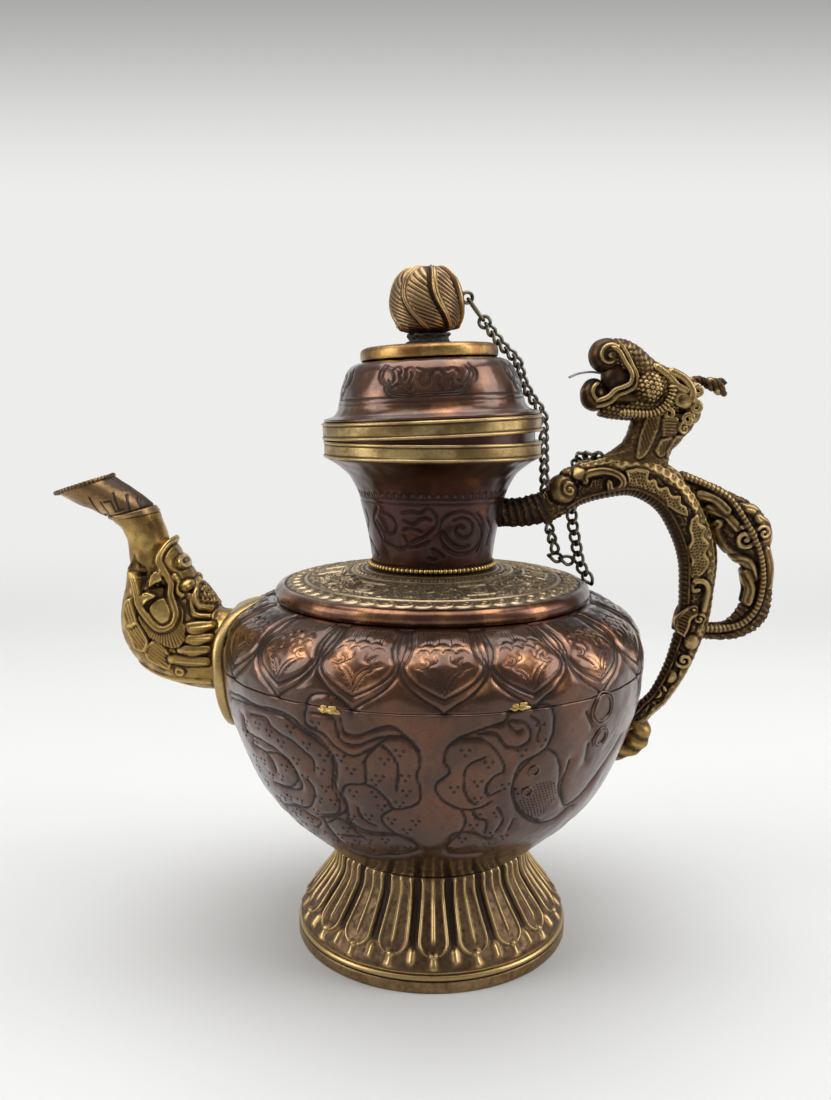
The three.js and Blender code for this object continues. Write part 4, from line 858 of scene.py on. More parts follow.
# Clouds, lappets, leaves and stripes as fine dark strips
def chasedLines():
    source = np.random.default_rng(ornament["seed"])
    shape = Shape()
    pitch, first = 2 * np.pi / ornament["lappets"], math.radians(ornament["lappetMiddle"])
    petals, leaves, stripes = [], [], []
    hatches = leafHatches()
    for count in range(ornament["lappets"]):
        shift = np.array([first + count * pitch, 0])
        petals += [line + shift for line in lappetLines]
        leaves += [line + shift for line in leafLines + hatches]
        for spot in np.linspace(-7.4, 7.4, ornament["stripes"]):
            start, lean = 141.5 + source.uniform(-2, 4), source.uniform(-0.4, 0.4)
            stripes.append(strokeLine([spot, start, spot * 1.06 + lean, 153.2], 2) + shift)
    place = lambda angle, arc, lift: onBody(angle, arc, lift)[0]
    strips(shape, cloudLines, place, ornament["line"], 0.09, -0.75)
    strips(shape, petals, place, ornament["line"], 0.09, -0.8)
    strips(shape, leaves, place, ornament["line"] * 0.75, 0.08, -0.85, 1.0)
    strips(shape, stripes, place, ornament["line"] * 0.8, 0.07, -0.75, 3.0)
    shape.piece("chasedLines", "vessel", "copper_body", "copper")


# Short strokes beside the leaves of the palmette
def leafHatches():
    lines = []
    for share in np.linspace(0.12, 0.85, 8):
        spot = leafHalf[0][int(share * (len(leafHalf[0]) - 1))]
        start = spot + [math.radians(-0.45), 0.1]
        lines.append(np.array([start, start + [math.radians(-1.0), 0.9]]))
    return lines + mirrored(lines)


# Groups of three dots wherever the clouds leave room for them
def starPlaces(source):
    kept = [np.array(spot) for spot in starSpots]
    share = source.uniform(0, 1, (900, 2))
    spots = np.stack([-60 + 82 * share[:, 0], 34 + 64 * share[:, 1]], 1)
    clouds = bodyGrooves(np.radians(spots[:, 0]), spots[:, 1])[0]
    for spot in spots[(clouds < 0.01) & (np.abs(spots[:, 0]) > 5)]:
        if min(np.hypot((spot[0] - other[0]) * 1.5, spot[1] - other[1]) for other in kept) > 6.3:
            kept.append(spot)
    return np.array(kept)


# Punched dots: small dark cones in threes, and rows of smaller ones on the fish
def punches():
    shape = Shape()
    source = np.random.default_rng(ornament["seed"] + 1)
    turns = np.array([0.5, 2.6, 4.7])
    stars = starPlaces(source)[:, None, :] + np.stack([1.1 * np.cos(turns), 1.55 * np.sin(turns)], 1)
    rows, columns = np.meshgrid(np.arange(16), np.arange(14), indexing="ij")
    fish = np.stack([22.5 + 1.05 * columns + 0.52 * (rows % 2), 79 - 1.55 * rows], -1).reshape(-1, 2)
    fish = fish[np.hypot((fish[:, 0] - 28.6) / 6.2, (fish[:, 1] - 66.5) / 10.5) < 1]
    spots = np.vstack([stars.reshape(-1, 2), fish])
    reach = np.concatenate([np.full(stars.size // 2, 0.7), np.full(len(fish), 0.45)])[:, None]
    turn = np.arange(6) * np.pi / 3
    for back in (0, 180):
        angle, arc = np.radians(spots[:, :1] + back), spots[:, 1:]
        across, up = reach * np.cos(turn) / ornament["dotsAt"], reach * np.sin(turn)
        rings = onBody(angle + across, arc + up, 0.1)[0]
        lows = onBody(angle + across / 2, arc + up / 2, -0.3)[0]
        for low, ring in zip(lows, rings):
            shape.grid(np.stack([low, ring]), -1.0, capped=True)
    shape.piece("punchedDots", "vessel", "copper_body", "copper")


# Rings of the ribbon and the fish's eyes as raised wires, and two crumbs of solder on the seam
def raisedRings():
    shape = Shape()
    for angle, arc, radius in ringSpots:
        for back in (0, 180):
            turn = fullTurn(28)
            across = math.radians(angle + back) + radius * np.cos(turn) / ornament["ringsAt"]
            middle = onBody(across, arc + radius * np.sin(turn), 0.05)[0]
            shape.grid(closedRod(middle, 0.6, 8), 0.15, over=True)
    shape.piece("ribbonRings", "vessel", "copper_body", "copper")
    crumbs = Shape()
    for angle, wide in solderSpots:
        centre = onBody(math.radians(angle), 112.0 + 0.05 * angle, 0.0)[0]
        lump = ball((0, 0, 0), (wide, 0.7, 1.3), 24, 14)
        lump = lump * (1 + 0.25 * ripple(lump, 2.2, 9))[..., None]
        crumbs.grid(turnAbout(lump, math.radians(angle)) + centre, 0.5, capped=True)
    crumbs.piece("seamSolder", "vessel", "brass_bands", "brass")


# A rod whose line closes on itself
def closedRod(line, radius, sides):
    along = np.roll(line, -1, 0) - np.roll(line, 1, 0)
    along /= np.linalg.norm(along, axis=1)[:, None]
    centre = line.mean(0)
    out = line - centre
    out -= (out * along).sum(1)[:, None] * along
    out /= np.linalg.norm(out, axis=1)[:, None]
    lift = np.cross(along, out)
    turn = fullTurn(sides)
    across = out[:, None] * np.cos(turn)[None, :, None] + lift[:, None] * np.sin(turn)[None, :, None]
    return line[:, None] + radius * across


# Turns spots about the upright axis
def turnAbout(spots, angle):
    x = spots[..., 0] * math.cos(angle) - spots[..., 1] * math.sin(angle)
    y = spots[..., 0] * math.sin(angle) + spots[..., 1] * math.cos(angle)
    return np.stack([x, y, spots[..., 2]], -1)


# A ball with three radii, in rows from its lower end up
def ball(centre, radii, columns=72, rows=44):
    turn = fullTurn(columns)
    rise = np.linspace(-np.pi / 2 + 0.03, np.pi / 2 - 0.03, rows)[:, None]
    spots = np.stack([np.cos(rise) * np.cos(turn), np.cos(rise) * np.sin(turn), np.sin(rise) + turn * 0], 2)
    return spots * np.asarray(radii) + np.asarray(centre)


# Wear of the copper: dark in the grooves, rubbed along their shoulders and on the lappets
def bodyWear(spots, arc, clouds, petals):
    edge = bump(np.sqrt(-np.log(np.clip(np.maximum(clouds, petals), 1e-6, 1))) - 1.35, 0.55)
    lappetZone = smoothStep(112, 122, arc) * smoothStep(146, 138, arc)
    rubbed = 0.28 * edge * (0.35 + lappetZone) + 0.22 * lappetZone * (ripple(spots, 22, 15) + 0.45)
    return rubbed - 0.8 * clouds**3 - 0.8 * petals**3 - 0.12 * (1 - lappetZone)


# The body below the seam
def bowl(size):
    columns, rows = 560, 132
    angle = fullTurn(columns)
    arc = np.linspace(0, lengthsAlong(bowlLine)[-1], rows)[:, None]
    outer, clouds, petals = onBody(angle, arc)
    wearAndShade = bodyWear(outer, arc, clouds, petals)
    inner = innerWall(evenLine(bowlLine[::8], rows), size["sheet"], columns, 20)
    Shape().grid(*walled(outer, wearAndShade, inner), capped=True).piece(
        "bowl", "vessel", "copper_body", "copper", "body_bowl")


# The body above the seam, its first row tucked in behind the bowl
def shoulder(size):
    columns, rows = 800, 72
    angle = fullTurn(columns)
    first = lengthsAlong(bowlLine)[-1] + 0.02
    arc = np.linspace(first, bodyArc[-1], rows)[:, None]
    arc[0] -= 0.5
    outer, clouds, petals = onBody(angle, arc, np.where(np.arange(rows) == 0, -0.3, 0.0)[:, None])
    wearAndShade = bodyWear(outer, arc, clouds, petals)
    inner = innerWall(evenLine(shoulderLine[::4], rows), size["sheet"], columns, 14)
    Shape().grid(*walled(outer, wearAndShade, inner), over=True).piece(
        "shoulder", "vessel", "copper_body", "copper", "body_shoulder")


bowl(vesselSizes)
shoulder(vesselSizes)
chasedLines()
punches()
raisedRings()
print("vessel done")


# Collar, disc and beads

deckSizes = {
    "collar": 73.9, "collarHeight": 6.8, "collarBase": 165.6, "disc": 69.3, "discRise": 7.1, "neckBore": 26.4,
    "relief": 0.85, "beads": 84, "beadRadius": 1.25, "neck": 27.6, "neckBase": 179.8}


# A low wall, then a quarter of an ellipse in to the disc
def collar(size):
    bore, low, high = size["disc"] + 0.3, size["collarBase"], size["collarBase"] + size["collarHeight"]
    waist = size["collarHeight"] * 0.4
    turn = np.linspace(0, np.pi / 2, 16)
    across, up = (size["collar"] - bore) * np.cos(turn), (high - low - waist) * np.sin(turn)
    roundEdge = np.stack([bore + across, low + waist + up], 1)
    outline = np.vstack([[size["collar"] - 0.6, low], [size["collar"] - 0.15, low + waist * 0.5], roundEdge])
    outline = evenLine(outline, 34)
    columns = 420
    outer = turned(outline, columns)
    outer = outer + gridNormals(outer) * (0.05 * ripple(outer, 14, 11))[..., None] * -1
    inner = innerWall(outline, 1.1, columns, 8)
    wearAndShade = 0.25 + 0.3 * ripple(np.concatenate([outer, inner]), 24, 12)
    Shape().grid(np.concatenate([outer, inner]), wearAndShade, over=True).piece(
        "collar", "vessel", "copper_bright", "brightCopper", "shoulder_collar")


# A low cone from its rim up to the neck, raised by its relief
def disc(size):
    rim, bore = size["disc"], size["neckBore"]
    top = size["collarBase"] + size["collarHeight"]
    rows, columns = 80, 860
    rise = np.linspace(0, size["discRise"] + 0.1, rows)
    outline = np.stack([np.linspace(rim, bore, rows), top - 0.3 + rise], 1)
    angle = fullTurn(columns)
    heights = discRelief(angle, outline[:, :1])
    outer = turned(outline, columns, size["relief"] * heights)
    wearAndShade = 1.9 * heights - 0.75
    under = turned(outline[::-12] - [0, 1.6], columns)
    Shape().grid(*walled(outer, wearAndShade, under), over=True).piece(
        "disc", "vessel", "brass_disc", "discBrass", "shoulder_disc")


# From the rim inwards: curled leaves, a plain wire, foliage between panels, a wire and fine rings
def discRelief(angle, radius):
    leaf = (angle * 50 / (2 * np.pi) + (radius - 64) * 0.03) % 1 - 0.5
    across, up = leaf * 2 * np.pi * radius / 50, radius - 64.6
    curl = bump(np.hypot(across * 0.78, up) - 2.7, 0.8) * smoothStep(-3.2, -1.6, across + up)
    heart = bump(np.hypot(across * 0.7 - 0.3, up + 0.2), 1.2)
    border = np.maximum(curl, 0.8 * heart) * smoothStep(60.6, 61.6, radius) * smoothStep(68.9, 68.2, radius)
    wires = (bump(radius - 59.6, 0.55) + bump(radius - 37.6, 0.5)
             + 0.6 * bump(radius - 33.4, 0.4) + 0.6 * bump(radius - 31.0, 0.4))
    flat = np.stack(np.broadcast_arrays(radius * np.sin(angle), radius * np.cos(angle), 0 * angle), -1)
    warp = flat + 2.2 * np.stack([ripple(flat, 11, 61), ripple(flat, 11, 62), ripple(flat, 11, 63)], -1)
    foliage = 1 - np.clip(np.abs(ripple(warp, 6.2, 64)) * 1.7, 0, 1)
    foliage = 0.85 * foliage**1.3 + 0.25 * (1 - np.clip(np.abs(ripple(warp, 3.4, 65)) * 2.2, 0, 1))
    zone = smoothStep(38.6, 40, radius) * smoothStep(58.6, 57.4, radius)
    panel = (angle * 6 / (2 * np.pi) + 0.12) % 1 - 0.5
    wide = panel * 2 * np.pi * radius / 6
    frameAway = np.maximum(np.abs(wide) - 7.5, np.abs(radius - 48.5) - 5.5)
    frameLine = bump(frameAway, 0.6)
    inside = smoothStep(0.5, -0.5, frameAway)
    figure = bump(np.hypot(wide, (radius - 48.5)) - 3.4, 0.8) + bump(np.hypot(wide, radius - 48.5), 1.5)
    middle = foliage * (1 - inside) + 0.75 * inside * figure
    petals = (angle * 64 / (2 * np.pi)) % 1 - 0.5
    small = bump(np.hypot(petals * 2 * np.pi * radius / 64, radius - 35.4) - 0.9, 0.45)
    rings = small * (radius > 34) * (radius < 37)
    parts = np.broadcast_arrays(border, wires, middle * zone, frameLine * zone, rings)
    return np.clip(np.maximum.reduce(parts), 0, 1.1)


# The girth follows each bead: the root of one less nine tenths of the share's square
def beadRing(size):
    count, steps, sides = size["beads"], 8, 10
    columns = count * steps
    angle = fullTurn(columns)
    share = (np.arange(columns) % steps) / steps
    girth = size["beadRadius"] * np.sqrt(np.clip(1 - (2 * share - 1) ** 2 * 0.9, 0.1, 1))
    roll = fullTurn(sides)
    middle = size["neck"] + 0.3 + size["beadRadius"] * 0.9
    radius = middle + girth[:, None] * np.cos(roll)
    height = size["neckBase"] + size["beadRadius"] + girth[:, None] * np.sin(roll)
    spots = aboutAxis(radius, angle[:, None], height)
    wearAndShade = np.broadcast_to((girth / size["beadRadius"] * 2 - 1.1)[:, None], spots.shape[:2])
    Shape().grid(spots, wearAndShade, over=True).piece(
        "beadRing", "vessel", "brass_disc", "brass", "neck_bead_ring")


collar(deckSizes)
disc(deckSizes)
beadRing(deckSizes)
print("deck done")


# Neck and mouth

neckSizes = {
    "radius": 27.6, "base": 179.8, "top": 230.5, "mouthTop": 238.4, "flare": 49.5, "sheet": 1.2,
    "mouth": 50.8, "mouthHeight": 7.9, "bandThick": 1.0}
chasedDepth = 0.28
neckShares = [
    [0, 0], [0.045, 0.1], [0.1, 0.28], [0.155, 0.39], [0.235, 0.53], [0.315, 0.67], [0.4, 0.76],
    [0.54, 0.855], [0.77, 0.94], [1, 1]]


domeStrokes = [
    [-32.4, 27.9, -33.7, 24.9, -34, 22.2, -31.5, 19.5, -29.1, 18.2, -28.1, 15.7, -23.6, 13.5, -16.5, 12.7,
    -7.5, 12.9, 0.2, 13.2, 9, 13, 17.1, 13.5, 21, 15.8, 23.3, 17.8, 27, 19.4, 28.8, 22.5, 27.1, 25.2,
    25.9, 26.8], [-30.2, 27.2, -31.6, 24.6, -31.7, 22.2, -29.4, 19.8, -27.3, 18.5, -26.2, 16.3, -22.6,
    14.4, -16.5, 13.8, -7.4, 14, 0.3, 14.1, 9.2, 14.1, 16.5, 14.4, 19.6, 16.3, 21.6, 18.5, 25.2, 20.1,
    26.7, 22.5, 25.1, 24.8], [-29.9, 26.1, -25.1, 24.5, -22.6, 21.3, -24.1, 19.3, -26.9, 20.2], [-25.2,
    25, -21.6, 26.3, -18.6, 24.3, -19.5, 22.2, -16.8, 19.8, -14.6, 21.9, -15.4, 24.6, -12.4, 25.5, -11,
    22.7, -12.6, 19.7, -11.4, 16.7, -14.2, 15.2, -17.8, 17, -20.8, 17.9, -23.9, 17.1, -25.9, 18.5], [-8.7,
    25.3, -5, 23.4, -6.2, 19.9, -4, 17.4, -0.6, 18.9, 0.8, 22.3, 4.5, 24, 6.5, 21.2, 3.9, 17.9, 5.9,
    15.4], [10.5, 23.8, 14.4, 24.6, 16.9, 22.3, 14.6, 19.8, 17.9, 18.3, 22.2, 20.8, 24.4, 23.5, 22.3,
    25.3], [12.1, 19.4, 10.6, 16.9, 13.2, 14.7, 17.4, 15.8]]
neckStrokes = [
    [-52.7, 23.3, -45.4, 18, -34.6, 18.2, -32.1, 23.3, -37.6, 26.7, -43.5, 27.3], [-49, 29.7, -56.5, 23.9,
    -52.8, 18.6, -47.4, 13.5, -36.3, 11.4, -26.5, 11.2, -22.5, 13.5, -25.5, 17.1], [-24.9, 28, -16.9, 29,
    -9.4, 28.3, -3.5, 30.9, 2.4, 25.7, 1, 21.1, -5.4, 17.5, -13.6, 15.6, -22.6, 12.7, -12.1, 12.9, -3.8,
    14.9], [-24, 24.5, -16.1, 22.8, -8.1, 25.7, -2.1, 24.8], [-24.9, 19.8, -18, 21, -10.1, 19.3],
    [8, 7.8, -0.5, 11.2, 2.9, 7, -3.9, 7], [16.3, 24.6, 22.5, 25.8, 29.8, 24.3, 34.8, 20.4, 32, 16.9,
    24.6, 16.3, 18.8, 19.1, 20.8, 21.8, 25.4, 20.8], [7.3, 19.3, 12.6, 15.6, 21.7, 11.9, 33.2, 12.3],
    [36.2, 27.7, 44.1, 23.6, 47.6, 14.3, 42.9, 9.2], [48, 25.3, 58.1, 19.3, 56.1, 12.1], [21.1, 29, 30.7,
    27.3, 39.7, 23.8, 45.8, 18, 44.3, 12.7, 35.9, 9.6, 24.9, 8.7, 14.8, 10.3, 7.7, 13.9, 5.3, 19.4, 6.9,
    24.8, 12.7, 27.8, 21.1, 29], [-69.7, 27.7, -69.7, 22.1, -85.8, 15.6],
    [-81.9, 13.9, -67, 10.5, -58.8, 6.6]]
neckCurve = evenLine(
    [[neckSizes["radius"] + r * (neckSizes["flare"] - neckSizes["radius"]),
      neckSizes["base"] + z * (neckSizes["top"] - neckSizes["base"])] for r, z in neckShares], 260)
neckArc = lengthsAlong(neckCurve)
neckOut = outlineNormals(neckCurve)


# A spot on a turned surface from its angle and the arc up its outline
def onOutline(curve, arcs, outs, angle, arc, rise):
    radius = np.interp(arc, arcs, curve[:, 0]) + np.interp(arc, arcs, outs[:, 0]) * rise
    height = np.interp(arc, arcs, curve[:, 1]) + np.interp(arc, arcs, outs[:, 1]) * rise
    return aboutAxis(radius, angle, height)


# Lines of angle and arc, turned by each number of degrees
def turnedLines(lines, *degrees):
    return [line + [math.radians(turn), 0] for turn in degrees for line in lines]


neckLines = turnedLines([strokeLine(flat) for flat in neckStrokes], 0, 180)


# The highest of chased lines, small arches and fine rings
def neckRelief(angle, arc):
    angle, arc = np.broadcast_arrays(angle, arc)
    radius = np.interp(arc, neckArc, neckCurve[:, 0])
    chased = nearStrokes(angle, arc, radius, neckLines, 0.8)
    arch = (angle * 58 / (2 * np.pi)) % 1 - 0.5
    across, up = arch * 2 * np.pi * radius / 58, arc - 36.0
    arches = bump(np.hypot(across, np.maximum(up, 0)) - 1.15, 0.45) * (up > -1.4) * (up < 2.2)
    rings = bump(arc - 34.3, 0.4) + bump(arc - 32.2, 0.4) + bump(arc - 2.8, 0.4)
    return np.maximum.reduce([chased, arches, np.clip(rings, 0, 1)])


# The neck's outline, cut in along its lines, and the lip above it
def neck(size):
    columns, rows = 600, 104
    angle = fullTurn(columns)
    arc = np.linspace(0, neckArc[-1], rows)[:, None]
    plain = onOutline(neckCurve, neckArc, neckOut, angle, arc, 0)
    chased = neckRelief(angle, arc)
    outer = onOutline(neckCurve, neckArc, neckOut, angle, arc,
                      0.06 * ripple(plain, 9, 21) - chasedDepth * chased)
    lip = np.stack([np.full(6, size["flare"]), np.linspace(size["top"] + 0.6, size["mouthTop"], 6)], 1)
    outline = np.vstack([evenLine(neckCurve[::5], 40), lip])
    inner = innerWall(outline, size["sheet"], columns, 5)
    walls = np.concatenate([outer, turned(lip, columns), inner])
    wearAndShade = np.full(walls.shape[:2], 0.0)
    wearAndShade[:rows] = 0.1 - 0.95 * chased + 0.12 * ripple(plain, 18, 22)
    # The neck wall takes the darker copy of the copper: painted shade for the dark reflection
    Shape().grid(walls, wearAndShade, over=True).piece(
        "neckWall", "vessel", "copper_body", "darkAndShadedCopper", "neck")
    shape = Shape()
    place = lambda angle, arc, lift: onOutline(
        neckCurve, neckArc, neckOut, angle, arc, lift - chasedDepth * neckRelief(angle, arc))
    strips(shape, neckLines, place, 0.26, 0.09, -0.35, 0.9, 32)
    # The neck's lines take the same darker copy: painted shade
    shape.piece("neckLines", "vessel", "copper_body", "darkAndShadedCopper")


# A flat brass band with a rounded ridge at either edge and a rubbed middle
def bandProfile(outer, inner, low, high):
    tall = high - low
    rows = []
    for share in np.linspace(0, 1, 33):
        edge = max(bump(share - 0.1, 0.075), bump(share - 0.9, 0.075))
        groove = max(bump(share - 0.21, 0.035), bump(share - 0.79, 0.035))
        rows.append([outer - 0.55 + 0.55 * edge - 0.22 * groove, low + share * tall])
    rows[0], rows[-1] = [outer - 0.5, low], [outer - 0.5, high]
    return np.vstack([[[inner, low]], rows, [[inner, high]]])


# A profile turned about the axis, rubbed on its ridges and dark in its grooves
def band(name, body, node, outer, inner, low, high, seed, place=None):
    profile = bandProfile(outer, inner, low, high)
    columns = 300
    angle = fullTurn(columns)
    spots = aboutAxis(profile[:, :1], angle, profile[:, 1:])
    share = (profile[:, 1] - low) / (high - low)
    ridges = bump(share - 0.1, 0.08) + bump(share - 0.9, 0.08)
    grooves = bump(share - 0.21, 0.04) + bump(share - 0.79, 0.04)
    wearAndShade = 0.35 + 0.5 * ridges - 1.4 * grooves
    wearAndShade = wearAndShade[:, None] + 0.25 * ripple(spots, 20, seed)
    if place is not None:
        spots = place(spots)
    Shape().grid(spots, wearAndShade, over=True).piece(name, body, "brass_bands", "bandBrass", node)


neck(neckSizes)
band("mouthBand", "vessel", "mouth_band", neckSizes["mouth"], neckSizes["mouth"] - neckSizes["bandThick"],
     neckSizes["mouthTop"] - neckSizes["mouthHeight"] + 0.3, neckSizes["mouthTop"], 31)
print("neck done")


# Lid and finial

lidSizes = {
    "radius": 51.2, "tilt": 2.4, "seat": 238.7, "bandHeight": 7.7, "dome": 0.838, "domeHeight": 26.0,
    "cap": 0.617, "capHeight": 7.1, "stem": 11.0, "stemHeight": 4.4, "bud": 16.4, "budHeight": 30.4,
    "budPetals": 7, "sleeve": 47.5, "sheet": 1.2, "gap": 0.3}
domeShares = [
    [1.162, 0], [1.065, 0.05], [1.016, 0.15], [1, 0.25], [0.965, 0.53], [0.916, 0.76], [0.885, 0.86],
    [0.83, 0.95], [0.76, 1]]
capShares = [[0.97, 0], [1, 0.12], [1, 0.6], [0.96, 0.82], [0.86, 0.93], [0.5, 1], [0.36, 1]]
stemShares = [[1, 0], [0.86, 0.2], [0.8, 0.45], [0.92, 0.8], [0.88, 1]]
budShares = [
    [0.5, 0], [0.74, 0.06], [0.93, 0.2], [1, 0.4], [0.97, 0.58], [0.84, 0.77], [0.6, 0.9], [0.3, 0.975]]


# The lid lies cocked about the left edge of its band
def cocked(spots, size=lidSizes):
    turn = math.radians(size["tilt"])
    across = spots[..., 0] + size["radius"]
    x = across * math.cos(turn) - spots[..., 2] * math.sin(turn) - size["radius"]
    z = across * math.sin(turn) + spots[..., 2] * math.cos(turn) + size["seat"]
    return np.stack([x, spots[..., 1], z], -1)


# From its band up to the bud
def lid(size):
    band("lidBand", "lid", "lid_band", size["radius"], size["sleeve"] + 0.3, 0, size["bandHeight"], 41,
         cocked)
    sleeve(size)
    dome(size)
    cap(size)
    stem(size)
    bud(size)


# A thin tube that hangs in the mouth
def sleeve(size):
    outline = np.stack([np.full(12, size["sleeve"]), np.linspace(-7, size["bandHeight"], 12)], 1)
    outer = turned(outline, 200)
    inner = innerWall(outline, size["sheet"], 200, 5)
    # The sleeve takes the darker copy of the copper: dark metal with painted shade
    Shape().grid(cocked(np.concatenate([outer, inner])), 0.05, over=True).piece(
        "lidSleeve", "lid", "brass_dark", "darkAndShadedCopper", "lid_sleeve")


# The dome's outline, cut in along its lines
def dome(size):
    columns, rows = 680, 84
    radius, low = size["radius"] * size["dome"], size["bandHeight"] + size["gap"]
    tall = size["domeHeight"] - size["sheet"]
    curve = evenLine([[r * radius, low + size["sheet"] + z * tall] for r, z in domeShares], 260)
    arcs, outs = lengthsAlong(curve), outlineNormals(curve)
    lines = turnedLines([strokeLine(flat) for flat in domeStrokes], 0, 90, 180, 270)
    angle = fullTurn(columns)
    arc = np.linspace(0, arcs[-1], rows)[:, None]

    # The highest of chased lines and two fine rings
    def relief(angle, arc):
        angle, arc = np.broadcast_arrays(angle, arc)
        chased = nearStrokes(angle, arc, np.interp(arc, arcs, curve[:, 0]), lines, 0.75)
        return np.maximum(chased, np.clip(bump(arc - 12.6, 0.5) + 0.7 * bump(arc - 10.4, 0.4), 0, 1))

    plain = onOutline(curve, arcs, outs, angle, arc, 0)
    chased = relief(angle, arc)
    outer = onOutline(curve, arcs, outs, angle, arc, 0.05 * ripple(plain, 9, 51) - chasedDepth * chased)
    foot = turned(np.array([[curve[0, 0], low], [curve[0, 0], low + 0.6]]), columns)
    inner = innerWall(evenLine(curve[::5], 50), size["sheet"], columns, 7)
    walls = cocked(np.concatenate([foot, outer, inner]))
    wearAndShade = np.full(walls.shape[:2], 0.0)
    wearAndShade[2:rows + 2] = 0.12 - 0.95 * chased + 0.14 * ripple(plain, 18, 54)
    Shape().grid(walls, wearAndShade, over=True).piece(
        "lidDome", "lid", "copper_body", "copper", "lid_dome")
    shape = Shape()
    place = lambda angle, arc, lift: cocked(onOutline(
        curve, arcs, outs, angle, arc, lift - chasedDepth * relief(angle, arc)))
    strips(shape, lines, place, 0.26, 0.09, -0.35, 0.9, 40)
    shape.piece("domeLines", "lid", "copper_body", "copper")


# A low round cap on the dome
def cap(size):
    radius, low = size["radius"] * size["cap"], size["bandHeight"] + size["domeHeight"] + 2 * size["gap"]
    points = [[r * radius, low + z * size["capHeight"]] for r, z in capShares]
    outline = evenLine(points + [[0.4, low + size["capHeight"]]], 60)
    outer = turned(outline, 300)
    wearAndShade = 0.4 + 0.3 * ripple(outer, 16, 52)
    Shape().grid(cocked(outer), wearAndShade, capped=True).piece(
        "lidCap", "lid", "brass_bands", "capBrass", "lid_cap")


# A short waisted stem, pitted all over
def stem(size):
    low = size["bandHeight"] + size["domeHeight"] + size["capHeight"] + 3 * size["gap"]
    outline = evenLine([[r * size["stem"], low + z * size["stemHeight"]] for r, z in stemShares], 30)
    outer = turned(outline, 120)
    outer = outer + gridNormals(outer) * (0.25 * ripple(outer, 3, 53))[..., None]
    Shape().grid(cocked(outer), 0.3 * ripple(outer, 3, 53), capped=True).piece(
        "finialStem", "lid", "green_stem", "verdigris", "finial_stem")


# Leaves wind up it: the place in a leaf is the angle and a lean that grows with height
def bud(size):
    low = size["bandHeight"] + size["domeHeight"] + size["capHeight"] + size["stemHeight"] + 4 * size["gap"]
    columns, rows = 460, 150
    points = [[r * size["bud"], low + z * size["budHeight"]] for r, z in budShares]
    outline = evenLine(points + [[0.5, low + size["budHeight"]]], rows)
    share = ((outline[:, 1] - low) / size["budHeight"])[:, None]
    angle = fullTurn(columns)[None, :]
    lean = 0.1 + 0.62 * share + 0.35 * np.sin(np.pi * share)
    within = ((angle + lean) * size["budPetals"] / (2 * np.pi)) % 1
    wide = outline[:, :1] * 2 * np.pi / size["budPetals"]
    across = within * wide
    calm = smoothStep(0.0, 0.1, share) * smoothStep(1.0, 0.93, share)
    edge = np.maximum(bump(across - 1.1, 0.55), bump(across - wide - 0.2, 0.4))
    second = bump(across - 2.5, 0.4)
    groove = bump(across, 0.7) + bump(across - wide, 0.7)
    body = (1 - within) * smoothStep(0, 0.12, within)
    hatch = 0.5 + 0.5 * np.sin((share * size["budHeight"] * 1.15 + across * 0.75) * 2 * np.pi / 2.7)
    leaf = smoothStep(3.2, 3.9, across) * smoothStep(wide - 0.4, wide - 1.6, across)
    cusp = bump(np.hypot(((angle * 4 / np.pi) % 1 - 0.5) * 6.5, share * size["budHeight"] - 1.5) - 3.2, 0.8)
    heights = calm * (0.75 * edge + 0.5 * second + 1.3 * body - 0.9 * groove + 0.45 * hatch * leaf) - 0.5
    heights = heights + 0.5 * cusp * smoothStep(0.2, 0.05, share)
    # Its foot, under the bulge by the stem, is darkened as painted shade
    shade = 0.5 * smoothStep(0.14, 0.0, share)
    wearAndShade = 0.95 * (edge + second) - 1.2 * groove + leaf * (1.4 * hatch - 0.75) - shade - 0.1
    outer = turned(outline, columns, heights)
    Shape().grid(cocked(outer), wearAndShade, capped=True).piece(
        "finialBud", "lid", "brass_bud", "tipBrass", "finial_bud")


lid(lidSizes)
print("lid done")


# Spout

spoutSizes = {
    "root": 84.235, "reach": 91.765, "foot": 120.0, "rise": 102.0, "width": 20.5, "wall": 1.9, "tipWall": 1.1,
    "flange": 131.0, "flangeLow": 29.0, "flangeHigh": 33.0, "flangeWide": 28.5}
headShares = [
    [0.003, -0.01, -0.093, 0.37, 0.9], [0.204, -0.005, 0.147, 0.375, 0.93],
    [0.31, 0.005, 0.191, 0.405, 0.95], [0.434, 0.035, 0.237, 0.46, 1], [0.549, 0.085, 0.294, 0.535, 1],
    [0.636, 0.165, 0.348, 0.615, 1], [0.685, 0.265, 0.396, 0.68, 0.96], [0.685, 0.375, 0.438, 0.74, 0.86],
    [0.659, 0.48, 0.469, 0.79, 0.76], [0.647, 0.545, 0.49, 0.832, 0.7]]
tipShares = [
    [0.722, 0.8, 0.484, 0.834, 0.53], [0.781, 0.826, 0.521, 0.876, 0.56], [0.866, 0.86, 0.59, 0.924, 0.59],
    [0.939, 0.892, 0.655, 0.966, 0.61], [1, 0.918, 0.716, 1, 0.62]]
tubeShares = [
    [0.618, 0.417, 0.404, 0.446, 0.48], [0.63, 0.52, 0.417, 0.534, 0.48],
    [0.639, 0.608, 0.425, 0.608, 0.48], [0.645, 0.686, 0.433, 0.681, 0.485],
    [0.67, 0.75, 0.45, 0.752, 0.5], [0.724, 0.797, 0.482, 0.831, 0.53]]
flangeRows = [  # share of the plate's reach, and how far it stands out
    [0.55, 1.5], [0.6, 4.4], [0.7, 4.7], [0.8, 4.4], [0.84, 3.9], [0.87, 3.4], [0.9, 4.3], [0.94, 4.7],
    [0.975, 4.2], [0.995, 3.2], [1.0, 2.0], [1.0, 0.0], [0.9, -0.4], [0.6, -0.4]]


